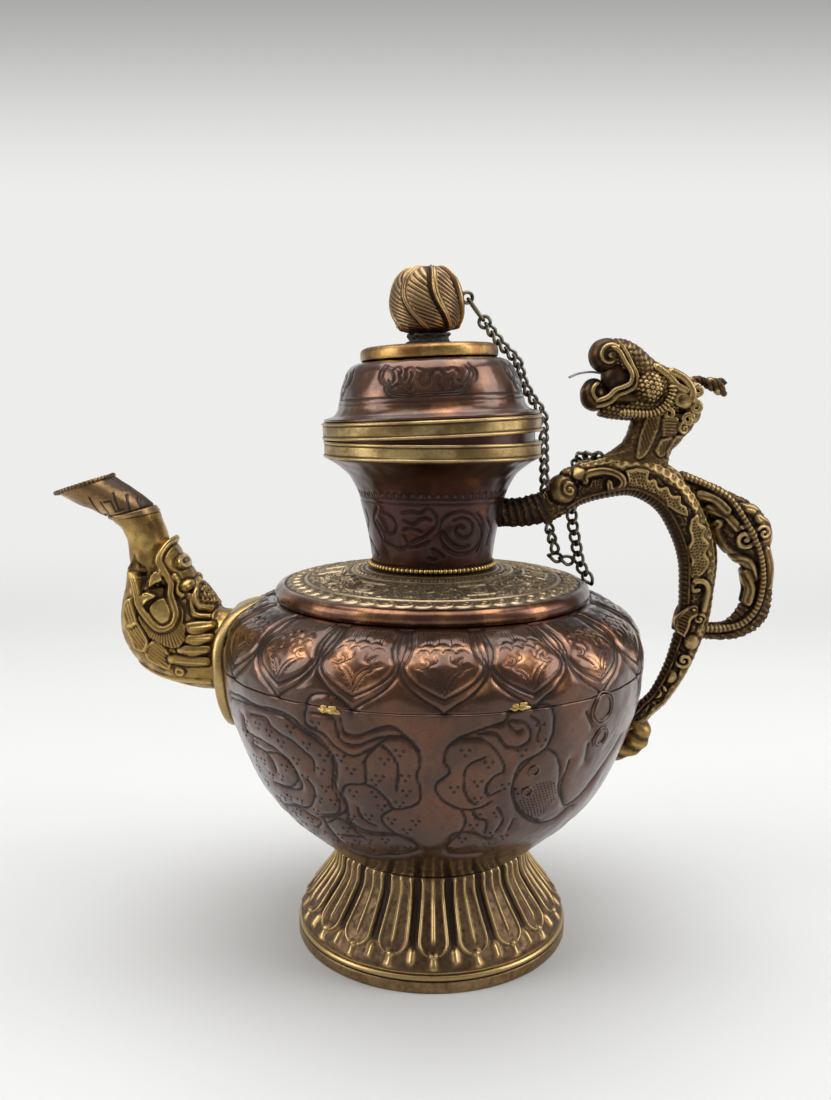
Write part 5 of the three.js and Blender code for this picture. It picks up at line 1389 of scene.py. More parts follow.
# Shares of the spout's reach and rise as x, z
def spoutPlace(x, z, size=spoutSizes):
    return -(size["root"] + x * size["reach"]), size["foot"] + z * size["rise"]


# An inner skin: the sections less the wall, kept inside the outer one
def hollow(rows, columns, wall, wearAndShade, outside):
    thin = np.array(rows[::-6])
    reach = thin[:, 2:4] - thin[:, 0:2]
    length = np.linalg.norm(reach, axis=1)[:, None]
    thin[:, 0:2] += reach / length * wall
    thin[:, 2:4] -= reach / length * wall
    thin[:, 4] -= wall
    inside = edgeRings(thin, columns)
    centre = inside.mean(1, keepdims=True)
    room = np.linalg.norm(outside[::-6] - centre, axis=2) - wall
    share = np.clip(room / np.linalg.norm(inside - centre, axis=2), 0.2, 1)
    inside = centre + (inside - centre) * share[..., None]
    return Shape().grid(*walled(outside, np.broadcast_to(wearAndShade, outside.shape[:2]), inside), over=True)


spoutForms = {
    "scales": [
        [-133.7, 141.8, -130.8, 146.1, -127.4, 147.8, -124.1, 146.1, -121.5, 142.7, -120.3, 138.4, -121.1,
        134.2, -122.4, 133.4, -125.7, 134.4, -131.8, 137.3], [-141.5, 153.7, -137.9, 155.8, -135.8, 157.1,
        -133.3, 153.7, -130.8, 148.6, -130.8, 146.1, -132.5, 142.7, -134.6, 141.4, -138.5, 143], [-141.5,
        153.7, -142.5, 159.6, -141.6, 164.7, -138.3, 167.2, -137.1, 164.7, -135.8, 159.6, -135, 155.4,
        -136.7, 154.5, -138.6, 152.8]],
    "leaves": [[-120.4, 138.6, -104.2, 137.4], [-115.8, 143.4, -104.1, 142.9], [-113.4, 148.3, -103.1, 148.1],
               [-114.2, 153.2, -102.9, 153.2]],
    "fan": [-116.9, 164.7, -114.8, 160.5, -114.6, 155.4, -113.6, 151.1, -114.8, 146.5, -117.8, 144.4,
            -121.5, 144.8, -125.7, 147.3, -129.5, 149, -131.8, 152.8, -134.4, 158.4, -131, 165, -122, 169],
    "mouth": [-152, 181, -140.5, 180, -136, 175, -134.6, 168.9, -133.9, 164.3, -131, 159.6, -128.5, 156.2,
              -125.6, 153.6, -122.4, 153.4, -119.2, 155.5, -118, 159.6, -119.2, 163.9, -120.6, 168.1,
              -120.9, 173.2, -123.8, 178.3, -126.4, 183.3, -125.4, 188, -122.4, 192.2, -116, 193.4, -106,
              194, -106, 216, -152, 216],
    "lips": [-113.4, 192.6, -117.3, 192.4, -122.4, 191.6, -125.3, 187.6, -126.2, 183.3, -123.6, 178.3,
             -120.7, 173.2, -120.5, 168.1, -119, 163.9, -117.8, 159.6, -119, 155.4, -122.4, 153.3, -125.7,
             153.5, -128.7, 156.2, -131.2, 159.6, -134.1, 164.3, -134.8, 168.9, -136.3, 174.9, -137.9, 177.8],
    "teeth": [[-129.9, 171.8, -128.9, 177.4, -126, 179.2, -123.9, 174.7, -126.6, 173.6],
              [-132.8, 162.8, -133.2, 168.3, -130.5, 170, -126.5, 168, -129.5, 166.4]],
    "mane": [-108.3, 176.4, -103.4, 170.4, -99.4, 162.6, -103.1, 160.2, -108.1, 162.3, -110, 167.4],
    "ridges": [[-114.3, 168.6, -111.9, 166.4, -111.2, 162, -109.6, 158.8, -104, 157.2],
               [-108.4, 177.4, -110.4, 172.6, -110.6, 167.6, -108.6, 162.4, -103.6, 160.2],
               [-119.4, 176.6, -117.6, 173.4, -117.6, 169.6, -115.4, 167.6]]}
tipLines = [
    [-157.3, 212.6, -153.6, 203.8, -150.8, 204.4], [-150.8, 210.5, -147.6, 211.1, -145.7, 206.2, -142.1,
    207.2], [-152.3, 210.6, -150.8, 207.1, -150.1, 206.4, -147.8, 200.5], [-146.8, 214.3, -143.8, 206.6],
    [-141.3, 213.4, -138.8, 204.7, -148.9, 202.4], [-136.7, 211.7, -134.1, 206.6],
    [-135.4, 210.9, -132.9, 206.6]]


# The water monster's head on the spout, as forms in the side view
def spoutRelief(x, z, spots):
    form = Relief(x, z)
    form.add(0.15 * scrollwork(spots, 6, 71) - 0.1, 0.3 * ripple(spots, 7, 72))
    for flat, lean in zip(spoutForms["scales"], (0.9, 0.6, 0.3)):
        form.plate(flat, 0.9, 1.6, lean, 0.6, 0.3)
    form.band([-140, 133.2, -128, 128, -117, 126.6, -104, 126.2], 1.0, 0.6, groove=0.4)
    for flat in spoutForms["leaves"]:
        form.band(flat, 2.75, 1.5, groove=1.0, taper=0.3)
        form.band([flat[0] + 2.4, flat[1] - 0.5, flat[2], flat[3] - 0.5], 0.75, 1.75, groove=0.4)
    form.ring(-117.4, 132.0, 1.7, 0.7, 0.9)
    side = smoothStep(5, 9.5, np.abs(spots[..., 1]))
    mane = outlineAway(x, z, sideLine(spoutForms["mane"]))
    pits = smoothStep(0.1, 1.1, ripple(spots, 2.4, 73))
    form.lay(mane, 1.1 - 1.0 * pits, 0.15 - 1.3 * pits)
    ballX, ballZ = -123.2, 160.6
    turn, reach = np.arctan2(z - ballZ, x - ballX), np.hypot(x - ballX, z - ballZ)
    fan = outlineAway(x, z, sideLine(spoutForms["fan"], 5))
    strokes = (0.5 + 0.5 * np.sin(turn * 62)) * smoothStep(8.6, 10, reach) * smoothStep(0.2, -0.8, fan)
    form.lay(fan, 1.4 - 0.5 * strokes + 0.04 * (reach - 9), 0.5 - 1.2 * strokes, 1.0)
    deep = smoothStep(171, 176, z)
    mouth = outlineAway(x, z, sideLine(spoutForms["mouth"], 5))
    form.lay(mouth, -1.0 - 6.8 * deep, 0.1 * deep - 0.35 - 0.8 * pits * deep, 0)
    form.ball(ballX, ballZ, 6.7, 1.7, 0.5)
    for flat in spoutForms["teeth"]:
        form.plate(flat, 2.0, shade=0.5)
    form.band(spoutForms["lips"], 1.5, 2.5, 0.7, groove=1.0)
    for flat in spoutForms["ridges"]:
        form.band(flat, 1.05, 1.3 * side, groove=0.8)
    form.ring(-115.6, 182.6, 2.5, 0.95, 1.5 * side, 0.8)
    form.ball(-114.0, 171.6, 2.6, 2.2 * side, 1.1)
    return form


# Sections between two edges, raised by the monster's forms
def spoutHead(size):
    count, columns = 260, 270
    rows = edgeRows(headShares, spoutPlace, size["width"], count)
    outside = edgeRings(rows, columns)
    form = spoutRelief(outside[..., 0], outside[..., 2], outside)
    calm = smoothStep(0, 6, np.arange(count))[:, None]
    outside = raised(outside, form.height * calm)
    hollow(rows, columns, size["wall"], form.wearAndShade, outside).piece(
        "spoutHead", "vessel", "brass_spout", "brass", "spout_head")


# The tube, pitted at its lower end
def spoutTube(size):
    rows = edgeRows(tubeShares, spoutPlace, size["width"], 110)
    outside = edgeRings(rows, 140)
    pits = smoothStep(0.3, 1.2, ripple(outside, 3.0, 75)) * smoothStep(186, 172, outside[..., 2])
    wearAndShade = 0.3 * ripple(outside, 14, 76) - 1.1 * pits - 0.5 * smoothStep(182, 162, outside[..., 2]) + 0.25
    outside = raised(outside, 0.1 * ripple(outside, 7, 77) - 0.45 * pits)
    hollow(rows, 140, size["wall"], wearAndShade, outside).piece(
        "spoutTube", "vessel", "brass_spout", "brass", "spout_tube")


# Engraved lines, a hem, and a corded edge whose girth is a sine wave
def spoutTip(size):
    count, columns = 120, 200
    rows = edgeRows(tipShares, spoutPlace, size["width"], count)
    outside = edgeRings(rows, columns)
    form = Relief(outside[..., 0], outside[..., 2])
    high = np.cos(fullTurn(columns))[None, :]
    # Its upper side is darkened as painted shade
    shade = 0.45 * smoothStep(0.35, 0.95, high)
    form.add(0.1 * ripple(outside, 8, 78), 0.35 * ripple(outside, 15, 79) - shade + 0.2)
    for flat in tipLines:
        away = lineDistance(outside[..., 0], outside[..., 2], sideLine(flat, 1))[0]
        form.add(-0.35 * bump(away, 0.34), -1.8 * bump(away, 0.42))
    along = np.linspace(0, lengthsAlong((rows[:, 0:2] + rows[:, 2:4]) / 2)[-1], count)[:, None]
    hem = 2.6 + 0.9 * high
    form.lay(along - hem + 0 * high, 0.5, 0.45, 0.7)
    outside = raised(outside, form.height)
    tip = hollow(rows, columns, size["tipWall"], form.wearAndShade, outside)
    cord = closedRod(outside[-1][::2], 1.05, 12)
    twist = np.sin(2 * np.pi * (np.arange(len(cord))[:, None] * 46 / len(cord) + np.arange(12) / 12))
    middle = cord.mean(1, keepdims=True)
    tip.grid(middle + (cord - middle) * (1 + 0.16 * twist[..., None]), -0.45 + 0.5 * twist, over=True)
    tip.piece("spoutTip", "vessel", "brass_tip", "tipBrass", "spout_tip")


# The vessel's radius at a height, for pieces that lie on its side
def vesselRadius(height):
    return np.interp(height, bodyLine[:, 1], bodyLine[:, 0])


# A plate on the belly: rows run out from the throat to its rim, over it and back to the vessel
def spoutFlange(size):
    columns = 260
    turn = fullTurn(columns)
    high = np.where(np.cos(turn) > 0, size["flangeHigh"], size["flangeLow"])
    rows = []
    for share, proud in flangeRows:
        y = size["flangeWide"] * share * np.sin(turn)
        z = size["flange"] + high * share * np.cos(turn)
        radius = vesselRadius(z) + proud
        rows.append(np.stack([-np.sqrt(np.maximum(radius**2 - y**2, 1)), y, z], 1))
    spots = np.stack(rows)
    Shape().grid(spots, 0.3, over=True).piece(
        "spoutFlange", "vessel", "brass_spout", "flangeBrass", "spout_flange")


spoutHead(spoutSizes)
spoutTube(spoutSizes)
spoutTip(spoutSizes)
spoutFlange(spoutSizes)
print("spout done")


# Handle

handleSizes = {
    "neck": 27.6, "span": 98.0, "low": 106.5, "rise": 115.7, "girth": 9.8, "flat": 0.94, "reach": 125.6,
    "plumeBase": 145.7, "plumeReach": 36.0, "plumeHigh": 78.0, "plumeWidth": 8.5}
handleShares = [
    [0.03, 0.845, 0.66], [0.141, 0.85, 0.7], [0.269, 0.875, 0.76], [0.398, 0.95, 0.92],
    [0.526, 0.985, 0.96], [0.667, 1, 1], [0.789, 0.962, 1], [0.885, 0.89, 0.98], [0.962, 0.77, 0.96],
    [0.996, 0.66, 0.9], [0.997, 0.54, 0.8], [0.987, 0.41, 0.72], [0.945, 0.28, 0.62], [0.9, 0.18, 0.54],
    [0.833, 0.08, 0.46], [0.776, 0.03, 0.43], [0.718, -0.02, 0.42], [0.6, -0.07, 0.42]]
plumeShares = [
    [-0.36, 0.92, -0.36, 0.99, 0.3], [-0.22, 0.91, -0.22, 0.985, 0.4], [-0.03, 0.82, 0.1, 0.945, 0.62],
    [0.1, 0.74, 0.37, 0.88, 0.85], [0.2, 0.64, 0.62, 0.83, 1], [0.31, 0.55, 0.83, 0.75, 1],
    [0.45, 0.49, 0.93, 0.63, 0.9], [0.575, 0.42, 0.95, 0.52, 0.76], [0.615, 0.32, 1, 0.36, 0.62],
    [0.6, 0.23, 0.985, 0.17, 0.56], [0.52, 0.14, 0.86, 0.05, 0.52], [0.35, 0.075, 0.57, -0.02, 0.48],
    [0.19, 0.07, 0.3, -0.03, 0.44], [0.0, 0.09, 0.0, -0.02, 0.4]]
footScrollShares = [[0.731, -0.02, 0.44], [0.744, -0.065, 0.58], [0.724, -0.115, 0.62], [0.673, -0.15, 0.5],
                    [0.6, -0.17, 0.42]]


# Shares of the handle's span and rise as x, z
def handlePlace(x, z, size=handleSizes):
    return size["neck"] + x * size["span"], size["low"] + z * size["rise"]


# Middle line and girth at equal steps
def handleLine(count, size=handleSizes):
    rows = [[*handlePlace(x, z), r * size["girth"]] for x, z, r in handleShares]
    return evenLine(rows, count, 1200, 2)


handleForms = {
    "cScroll": [70.1, 219.9, 69.6, 221.6, 72.9, 223.3, 79.6, 224.2, 85.4, 222.6, 87.6, 219.4, 85.4, 216.2,
                82, 216.2, 81.2, 219],
    "patches": [
        [88.3, 224.7, 89.4, 220.4, 88.5, 218, 90.5, 214.6, 93.6, 215.4, 97.3, 211.6, 101, 211.6, 105.2,
        207.6, 109, 208, 113.1, 205.4, 117.9, 203.8, 116.9, 208.2, 114.6, 209.6, 114, 213.1, 110, 213.6,
        107.9, 217.4, 104, 217, 102, 220.9, 99, 220.6, 98.9, 224.7, 93.1, 225.9], [119.1, 202.3, 122.4,
        204.3, 123.4, 200.4, 126.6, 198.5, 125.6, 194.4, 128.6, 190.6, 127, 186.6, 128.9, 182, 126.4,
        176.7, 122.1, 173.7, 119.9, 178.6, 120.9, 182.7, 118.6, 188, 120, 192.5, 118.4, 197.6]],
    "lobe": [64.8, 221.2, 67.4, 223, 70, 224.4],
    "hook": [121.6, 170.4, 123.6, 173, 127.1, 172.6, 129, 168.8, 128.2, 162.8, 127.1, 157.3],
    "hookEnd": [121.7, 170.6, 122.4, 168.4, 124.6, 168.8],
    "fish": [116.7, 147.4, 116.9, 153.5, 119.4, 158.8, 123, 161.6, 125, 160.2, 124.6, 157, 122.4, 154.4,
             121.5, 150, 119.8, 145.6],
    "plumeRib": [116.9, 221.6, 126.8, 217.7, 136.7, 211.9, 142.9, 204.1, 148.7, 194.7, 153.2, 184.3, 155.2,
                 172.4, 153.4, 160.3, 147.3, 152.3, 138.5, 149.2, 129.6, 149.2, 120, 149.6],
    "plumeLobes": [
        [129.1, 207, 135.1, 204.6, 141.4, 198.4], [133.3, 200.1, 132.3, 196.2, 137.2, 188.3, 144.8, 183.3],
        [141.3, 183.3, 147.9, 182, 151.6, 174.4], [142.8, 207.4, 149.3, 206, 153.4, 200.1],
        [151.4, 202.3, 156.2, 198.4, 156.4, 191.9, 153, 190.4], [155.9, 187.3, 158.3, 179.4, 158, 170.4],
        [124.6, 213.4, 131, 211.4, 136.4, 206.4], [147.6, 176, 150.4, 169, 149.6, 162.4]]}


# Cast ornament of the handle: ribs along its inner curve, scales on its back, patches between
def handleBody(size):
    rows, columns = 600, 140
    line = handleLine(rows)
    spots = edgeRings(sweepEdges(line, size["flat"]), columns)
    along = lengthsAlong(line[:, :2])[:, None]
    turn = fullTurn(columns)[None, :]
    girth = line[:, 2:3]
    around = np.minimum(turn, 2 * np.pi - turn) * girth
    form = Relief(spots[..., 0], spots[..., 2])
    rough = scrollwork(spots, 4.4, 81)
    form.add(0.9 * rough - 0.5, 1.3 * rough - 0.5)
    back = scales(along + 0 * around, around + 1.5, 3.5)
    above = around - 0.4 * girth * np.pi + 0.6 * np.sin(along * 0.6) + (along < 34) * 30
    form.lay(above, 1.6 * back - 0.5, 1.9 * back - 0.9, 0.5)
    for flat in handleForms["patches"]:
        away = form.plate(flat, 0.75, rim=0.7, shade=0.5)
        pits = dots(spots[..., 0], spots[..., 2], 1.45) * smoothStep(-1.0, -1.6, away)
        form.add(-0.45 * pits, -1.5 * pits)
    form.band(handleForms["cScroll"], 1.75, 1.9, 0.7, groove=1.0)
    form.band(handleForms["lobe"], 3.0, 1.5, groove=0.8, taper=0.85)
    form.ball(60.2, 215.6, 6.2, 1.9, 1.0)
    form.spiral(63.2, 215.8, 3.0, 1.2, 1.2, 0.8, 2.2)
    form.band(handleForms["hook"], 1.5, 1.8, groove=1.0)
    form.band(handleForms["hookEnd"], 1.1, 1.5)
    form.spiral(125.6, 154.8, 2.6, 1.2, 0.4, 0.7, 1.4)
    form.ball(122.6, 143.4, 3.8, 1.9)
    form.spiral(119.4, 134.6, 4.2, 1.4, 2.2, 1.0, 1.7)
    form.ball(113.4, 126.4, 3.4, 1.6)
    form.spiral(107.6, 118.6, 4.0, 1.4, 0.3, 0.95, 1.6)
    under = np.pi * girth - around - 0.3 * girth * np.pi
    start = smoothStep(26, 30, along)
    ribs = np.abs(((along / 2.55) % 1) - 0.5) * 2
    ribs = ridge(1 - ribs, 0.95)
    form.lay(under + (1 - start) * 30, 0.6 * ribs - 0.5, 0.8 * ribs - 0.9, 0.8)
    edge = np.abs(under) + (1 - start) * 30
    form.lay(edge - 0.55, 0.7 * ridge(edge, 0.7), 0.3, 0.3)
    form.plate(handleForms["fish"], 1.5, 1.7, 1.2, 0.5, 0.4)
    form.ball(123.1, 159.2, 0.9, 2.2)
    cord = smoothStep(24, 20, along)
    twist = 0.5 + 0.5 * np.sin(2 * np.pi * (along / 3.4 + turn / np.pi))
    form.height = form.height * (1 - cord) + cord * (0.5 * twist + 0.6 * rough - 0.6)
    form.wearAndShade = form.wearAndShade * (1 - cord) + cord * (0.5 * twist + 0.5 * rough - 1.0)
    spots = raised(spots, form.height)
    Shape().grid(spots, form.wearAndShade, capped=True).piece(
        "handleBody", "vessel", "bronze_handle", "bronze", "handle_body")


# Shares of the plume's reach and height as x, z
def plumePlace(x, z, size=handleSizes):
    return size["reach"] + x * size["plumeReach"], size["plumeBase"] + z * size["plumeHigh"]


# The curled plume behind the handle: a twisted rib with leaves that scroll to either side
def plume(size):
    spots = edgeRings(edgeRows(plumeShares, plumePlace, size["plumeWidth"], 400), 150)
    form = Relief(spots[..., 0], spots[..., 2])
    rough = scrollwork(spots, 4.2, 85)
    veins = 0.5 + 0.5 * np.sin(2 * np.pi * (spots[..., 0] * 0.55 + spots[..., 2] * 0.8) / 2.6)
    form.add(0.6 * rough + 0.4 * veins - 0.5, 0.9 * rough + 0.6 * veins - 0.7)
    for flat in handleForms["plumeLobes"]:
        form.band(flat, 2.2, 1.6, 0.5, groove=1.0)
    form.spiral(145.2, 193.4, 5.6, 1.5, 1.9, 1.25, 2.2, -1)
    form.spiral(153.6, 195.6, 3.4, 1.2, 2.6, 0.9, 1.9, -1)
    form.band(handleForms["plumeRib"], 1.45, 2.1, hatch=2.1, groove=1.0)
    Shape().grid(raised(spots, form.height), form.wearAndShade, capped=True).piece(
        "tailScroll", "vessel", "bronze_handle", "bronze", "tail_scroll")


# Ribbed by a sine wave
def footScroll(size):
    rows = smoothLine([[*handlePlace(x, z), r * size["girth"]] for x, z, r in footScrollShares], 90)
    spots = edgeRings(sweepEdges(rows, 0.95), 90)
    stripes = np.sin(2 * np.pi * (spots[..., 0] * 0.5 + spots[..., 2] + 0.4 * np.abs(spots[..., 1])) / 7.5)
    Shape().grid(raised(spots, 0.35 * stripes), 0.5 * stripes - 0.15, capped=True).piece(
        "handleScrollFoot", "vessel", "bronze_handle", "brass", "handle_scroll_foot")


handleBody(handleSizes)
plume(handleSizes)
footScroll(handleSizes)
print("handle done")


# Dragon

dragonSizes = {"chinX": 68.21, "chinZ": 248.17, "long": 52.0, "high": 38.0, "width": 11.5}
upperJawShares = [
    [0.86, 0.02, 1.02, 0.45, 0.7], [0.72, 0.1, 0.86, 0.56, 0.9], [0.58, 0.26, 0.66, 0.69, 0.95],
    [0.49, 0.44, 0.5, 0.87, 0.86], [0.38, 0.52, 0.37, 0.955, 0.72], [0.28, 0.6, 0.25, 0.96, 0.5]]
lowerJawShares = [
    [0.86, -0.02, 0.8, 0.4, 0.8], [0.6, -0.02, 0.56, 0.36, 0.9], [0.4, -0.01, 0.42, 0.26, 0.76],
    [0.25, 0.01, 0.27, 0.2, 0.56], [0.16, 0.04, 0.2, 0.18, 0.36]]
napeShares = [
    [0.15, 0.804, -0.544, 0.65], [0.217, 0.809, -0.457, 0.68], [0.315, 0.819, -0.37, 0.75],
    [0.384, 0.875, -0.294, 0.8], [0.425, 0.94, -0.202, 0.85], [0.448, 1.008, -0.097, 0.87],
    [0.486, 1.034, 0.061, 0.85]]
tongueShares = [[0.26, 0.53], [0.1, 0.565], [-0.02, 0.545], [-0.1, 0.5]]
tuftShares = [[0.94, 0.4], [1.04, 0.46], [1.15, 0.42], [1.28, 0.38]]


# Shares of the head's length and height as x, z
def dragonPlace(x, z, size=dragonSizes):
    return size["chinX"] + x * size["long"], size["chinZ"] + z * size["high"]


dragonForms = {
    "lips": [[80.3, 280.8, 83.9, 278.5, 86.3, 274.4, 89.6, 269.2, 89.6, 264.9, 86.4, 262.8, 82.6, 261.4,
              79.2, 258.2, 73.8, 256.2],
             [83.9, 283, 87.6, 277.3, 89.9, 272.7, 92.3, 268, 92, 263.2, 88.2, 260.6, 84.2, 259, 80.6,
             255.8, 74.2, 253.6]],
    "ruff": [84.6, 251.2, 96.1, 250.5, 100.9, 251.3, 105.5, 254.8, 108, 260, 108.1, 264.3],
    "horns": [[99.6, 272.8, 107, 267.4, 110.9, 263.3, 116.6, 260.4],
              [106.3, 270.4, 113.7, 266.6, 117.8, 260.9, 117.5, 255.2]],
    "curls": [[113.1, 256.7, 3.5, 0.6, 1], [119.4, 253.4, 3.0, 2.4, -1], [116.3, 247.9, 2.9, 0.2, 1],
              [107.1, 250.3, 3.2, 3.4, -1], [120.6, 261, 2.6, 1.2, 1]],
    "panels": [[97.6, 249.4, 103.6, 249.2, 101.4, 240, 97.6, 231.8, 93.4, 230.6, 94.8, 240],
               [104.4, 248.8, 111.6, 248.6, 111, 241.2, 104.6, 240.2], [104, 239.4, 109.8, 240, 108.4,
               233.4, 104.6, 230.8, 101.6, 234],
               [110.8, 241, 115.2, 240.6, 112, 234.6, 108.2, 230.4, 107.6, 234.6]]}


# Jaws, nape, lumps and rods in one mesh
def dragonHead(size):
    shape = Shape()

    # One skin of the head, moved out by its form
    def cover(spots, form):
        shape.grid(raised(spots, form.height), form.wearAndShade, capped=True)

    # Pearled sections between two edges
    def jaw(shares, count):
        spots = edgeRings(edgeRows(shares, dragonPlace, size["width"], count), 110)
        form = Relief(spots[..., 0], spots[..., 2])
        grain = pearls(spots[..., 0] - 0.4 * spots[..., 2], spots[..., 2] + 0.5 * np.abs(spots[..., 1]), 2.3)
        form.add(0.8 * grain - 0.4, 1.3 * grain - 0.8)
        cover(spots, form)

    # A ball at a place in shares, with pearls and scrolls
    def lump(x, z, y, wide, high, deep, columns=60, rows=36, scale=0.0, wearAndShade=0.3, marks=()):
        place = dragonPlace(x, z)
        spots = ball([place[0], y * size["width"], place[1]],
                     [wide * size["long"], deep * size["width"], high * size["high"]], columns, rows)
        form = Relief(spots[..., 0], spots[..., 2])
        form.add(0.05 * ripple(spots, 6, 91), wearAndShade + 0.3 * ripple(spots, 6, 92))
        if scale:
            grain = pearls(spots[..., 0] - spots[..., 2] * 0.3, spots[..., 2] + spots[..., 0] * 0.2, scale)
            form.add(1.0 * grain - 0.4, 1.6 * grain - 0.9)
        for markX, markZ, radius, start, way in marks:
            form.spiral(*dragonPlace(markX, markZ), radius, 1.1, start, 0.95, 1.1, way)
            form.ball(*dragonPlace(markX, markZ), 1.2, 0.9)
        cover(spots, form)

    # A rod on both sides of the head, thin at its ends, ribbed by a sine wave
    def rod(line, girth, count, lie=0.9, ribs=0.0):
        rows = smoothLine(np.asarray(line, float).reshape(-1, 2), count)
        taper = np.minimum(1, np.minimum(np.arange(count) + 2, count + 1 - np.arange(count)) / 6)
        swell = 1 + (0.16 * np.sin(2 * np.pi * lengthsAlong(rows) / ribs) if ribs else np.zeros(count))
        for side in (1, -1):
            depth = side * size["width"] * lie * np.ones(count)
            path = np.stack([rows[:, 0], depth, rows[:, 1]], 1)
            spots = rodRings(path, girth * taper * swell, 9, (0, side, 0))
            shape.grid(spots, (0.6 + (swell - 1) * 5)[:, None] + np.zeros(9), capped=True)

    jaw(upperJawShares, 120)
    jaw(lowerJawShares, 100)
    nape = [[left, z, right, z, half] for left, right, z, half in napeShares]
    spots = edgeRings(edgeRows(nape, dragonPlace, size["width"], 140), 130)
    form = Relief(spots[..., 0], spots[..., 2])
    rough = scales(spots[..., 0] + spots[..., 2] * 0.4, -spots[..., 2] + 0.3 * spots[..., 0], 2.6)
    form.add(0.8 * rough - 0.3, 1.2 * rough - 0.8)
    for flat, lean in zip(dragonForms["panels"], (0.25, 1.5, 0.1, 0.6)):
        form.plate(flat, 0.9, 1.35, lean, 0.0, 0.5)
    form.spiral(114.4, 244.2, 2.9, 1.5, 0.5, 0.7, 1.6)
    cover(spots, form)
    lump(0.12, 0.29, 0, 0.12, 0.2, 0.62, 110, 66, 0, -0.25, ((0.165, 0.31, 4.4, 1.9, 1), ))
    lump(0.22, 0.76, 0, 0.155, 0.21, 0.7, 120, 72, 0, -0.15, ((0.235, 0.75, 5.6, 0.5, 1), ))
    lump(0.34, 0.5, 0, 0.16, 0.24, 0.6, 60, 36, 0, -0.4)
    lump(0.42, 0.25, 0, 0.2, 0.12, 0.8, 60, 36, 0, -0.3)
    lump(0.585, 0.37, 0, 0.15, 0.235, 1.36, 160, 100, 2.3)
    for side in (1, -1):
        lump(0.9, 0.22, side * 0.55, 0.09, 0.13, 0.42, 36, 22)
        lump(0.975, 0.06, side * 0.42, 0.08, 0.12, 0.4, 36, 22)
        lump(0.98, 0.34, side * 0.45, 0.07, 0.11, 0.36, 36, 22)
    rod(dragonForms["lips"][0], 1.15, 80)
    rod(dragonForms["lips"][1], 0.95, 80, 0.86)
    rod(dragonForms["ruff"], 2.0, 150, 0.96, 1.7)
    for flat in dragonForms["horns"]:
        rod(flat, 2.0, 60, 0.8)
    at = np.linspace(0, 1, 40)
    for x, z, reach, start, way in dragonForms["curls"]:
        turn = start + way * at * 1.25 * 2 * np.pi
        fall = reach * (1 - 0.8 * at)
        rod(np.stack([x + fall * np.cos(turn), z + fall * np.sin(turn)], 1), 1.25, 70, 0.8)
    shape.piece("dragonHead", "vessel", "bronze_dragon", "bronze", "dragon_head")


# A thin strip that hangs out of the mouth
def tongue():
    rows = smoothLine([[*dragonPlace(x, z), 0.54] for x, z in tongueShares], 50)
    Shape().grid(edgeRings(sweepEdges(rows, 5), 24), 0.0, capped=True).piece(
        "dragonTongue", "vessel", "silver_strip", "silver", "dragon_tongue")


# Three strands twisted round each other that part at their ends
def tuft(size):
    middle = smoothLine([dragonPlace(x, z) for x, z in tuftShares], 90)
    share = np.linspace(0, 1, 90)
    away = size["width"] * (0.1 + 0.15 * smoothStep(0.55, 1, share))
    shape = Shape()
    for strand in range(3):
        turn = 2 * np.pi * (2.4 * share + strand / 3)
        line = np.stack([middle[:, 0], away * np.cos(turn), middle[:, 1] + away * np.sin(turn)], 1)
        knots = ripple(line, 6, 95)
        girth = size["width"] * (0.12 + 0.03 * knots)
        shape.grid(rodRings(line, girth, 12), (0.5 * knots - 0.3)[:, None], capped=True)
    shape.piece("dragonTuft", "vessel", "dark_twist", "bronze", "dragon_tuft")


dragonHead(dragonSizes)
tongue()
tuft(dragonSizes)
print("dragon done")


# Chain

chainSizes = {
    "wire": 0.85, "wide": 2.25, "lean": 49.0, "longHalf": 6.0, "longWide": 2.5, "ring": 2.6, "eye": 2.4,
    "bright": 0.15}
# Routes of the strands, as in the CAD: spots between which the links lie at equal distances
upperRoute = [
    [26.4, 1.9, 289.1], [32.6, 4, 281.7], [39.4, 5.9, 274.9], [42.4, 9, 266.3], [47, 11.7, 258.3],
    [52.5, 13.1, 250.4], [53.4, 13.2, 240.7], [53.9, 13, 225.5], [54.5, 13, 211.2], [56.8, 13, 196.1],
    [59.4, 13, 186.6]]
lowerRoute = [
    [73.7, 1.4, 231.2], [70, 5.2, 230.2], [68.6, 8.4, 226.9], [67.7, 12, 218.8], [67.4, 13, 208],
    [68, 13, 198.5], [69.9, 13, 188.5], [72.2, 13, 178], [76.2, 13, 170.8]]
loopRoute = [[60, 13, 181.2], [65.4, 13, 179.8]]
upperLinks = {"half": 3.33, "route": upperRoute, "roll": [-43] * 24}
lowerLinks = {"half": 3.5, "route": lowerRoute, "roll": [-41, 5, 19, 24] + [25] * 10}
crossLinks = {"half": 3.4, "route": loopRoute, "roll": [-41] * 2}


# An oval wire: the cosine of the turn runs along the link, its sine across, leaning as it goes
def wireLoop(shape, spot, along, first, half, wide, lean=0.0):
    turn = (np.arange(28) + 0.5) * 2 * np.pi / 28
    slope = math.radians(lean) * np.cos(turn)
    second = np.cross(along, first)
    side = np.outer(np.cos(slope), first) + np.outer(np.sin(slope), second)
    line = np.asarray(spot, float) + np.outer(half * np.cos(turn), along)
    line = line + (wide * np.sin(turn))[:, None] * side
    wearAndShade = chainSizes["bright"] + 0.9 * (np.abs(np.sin(turn)) - 0.5)
    shape.grid(closedRod(line, chainSizes["wire"], 10), wearAndShade[:, None] + np.zeros(10), over=True)


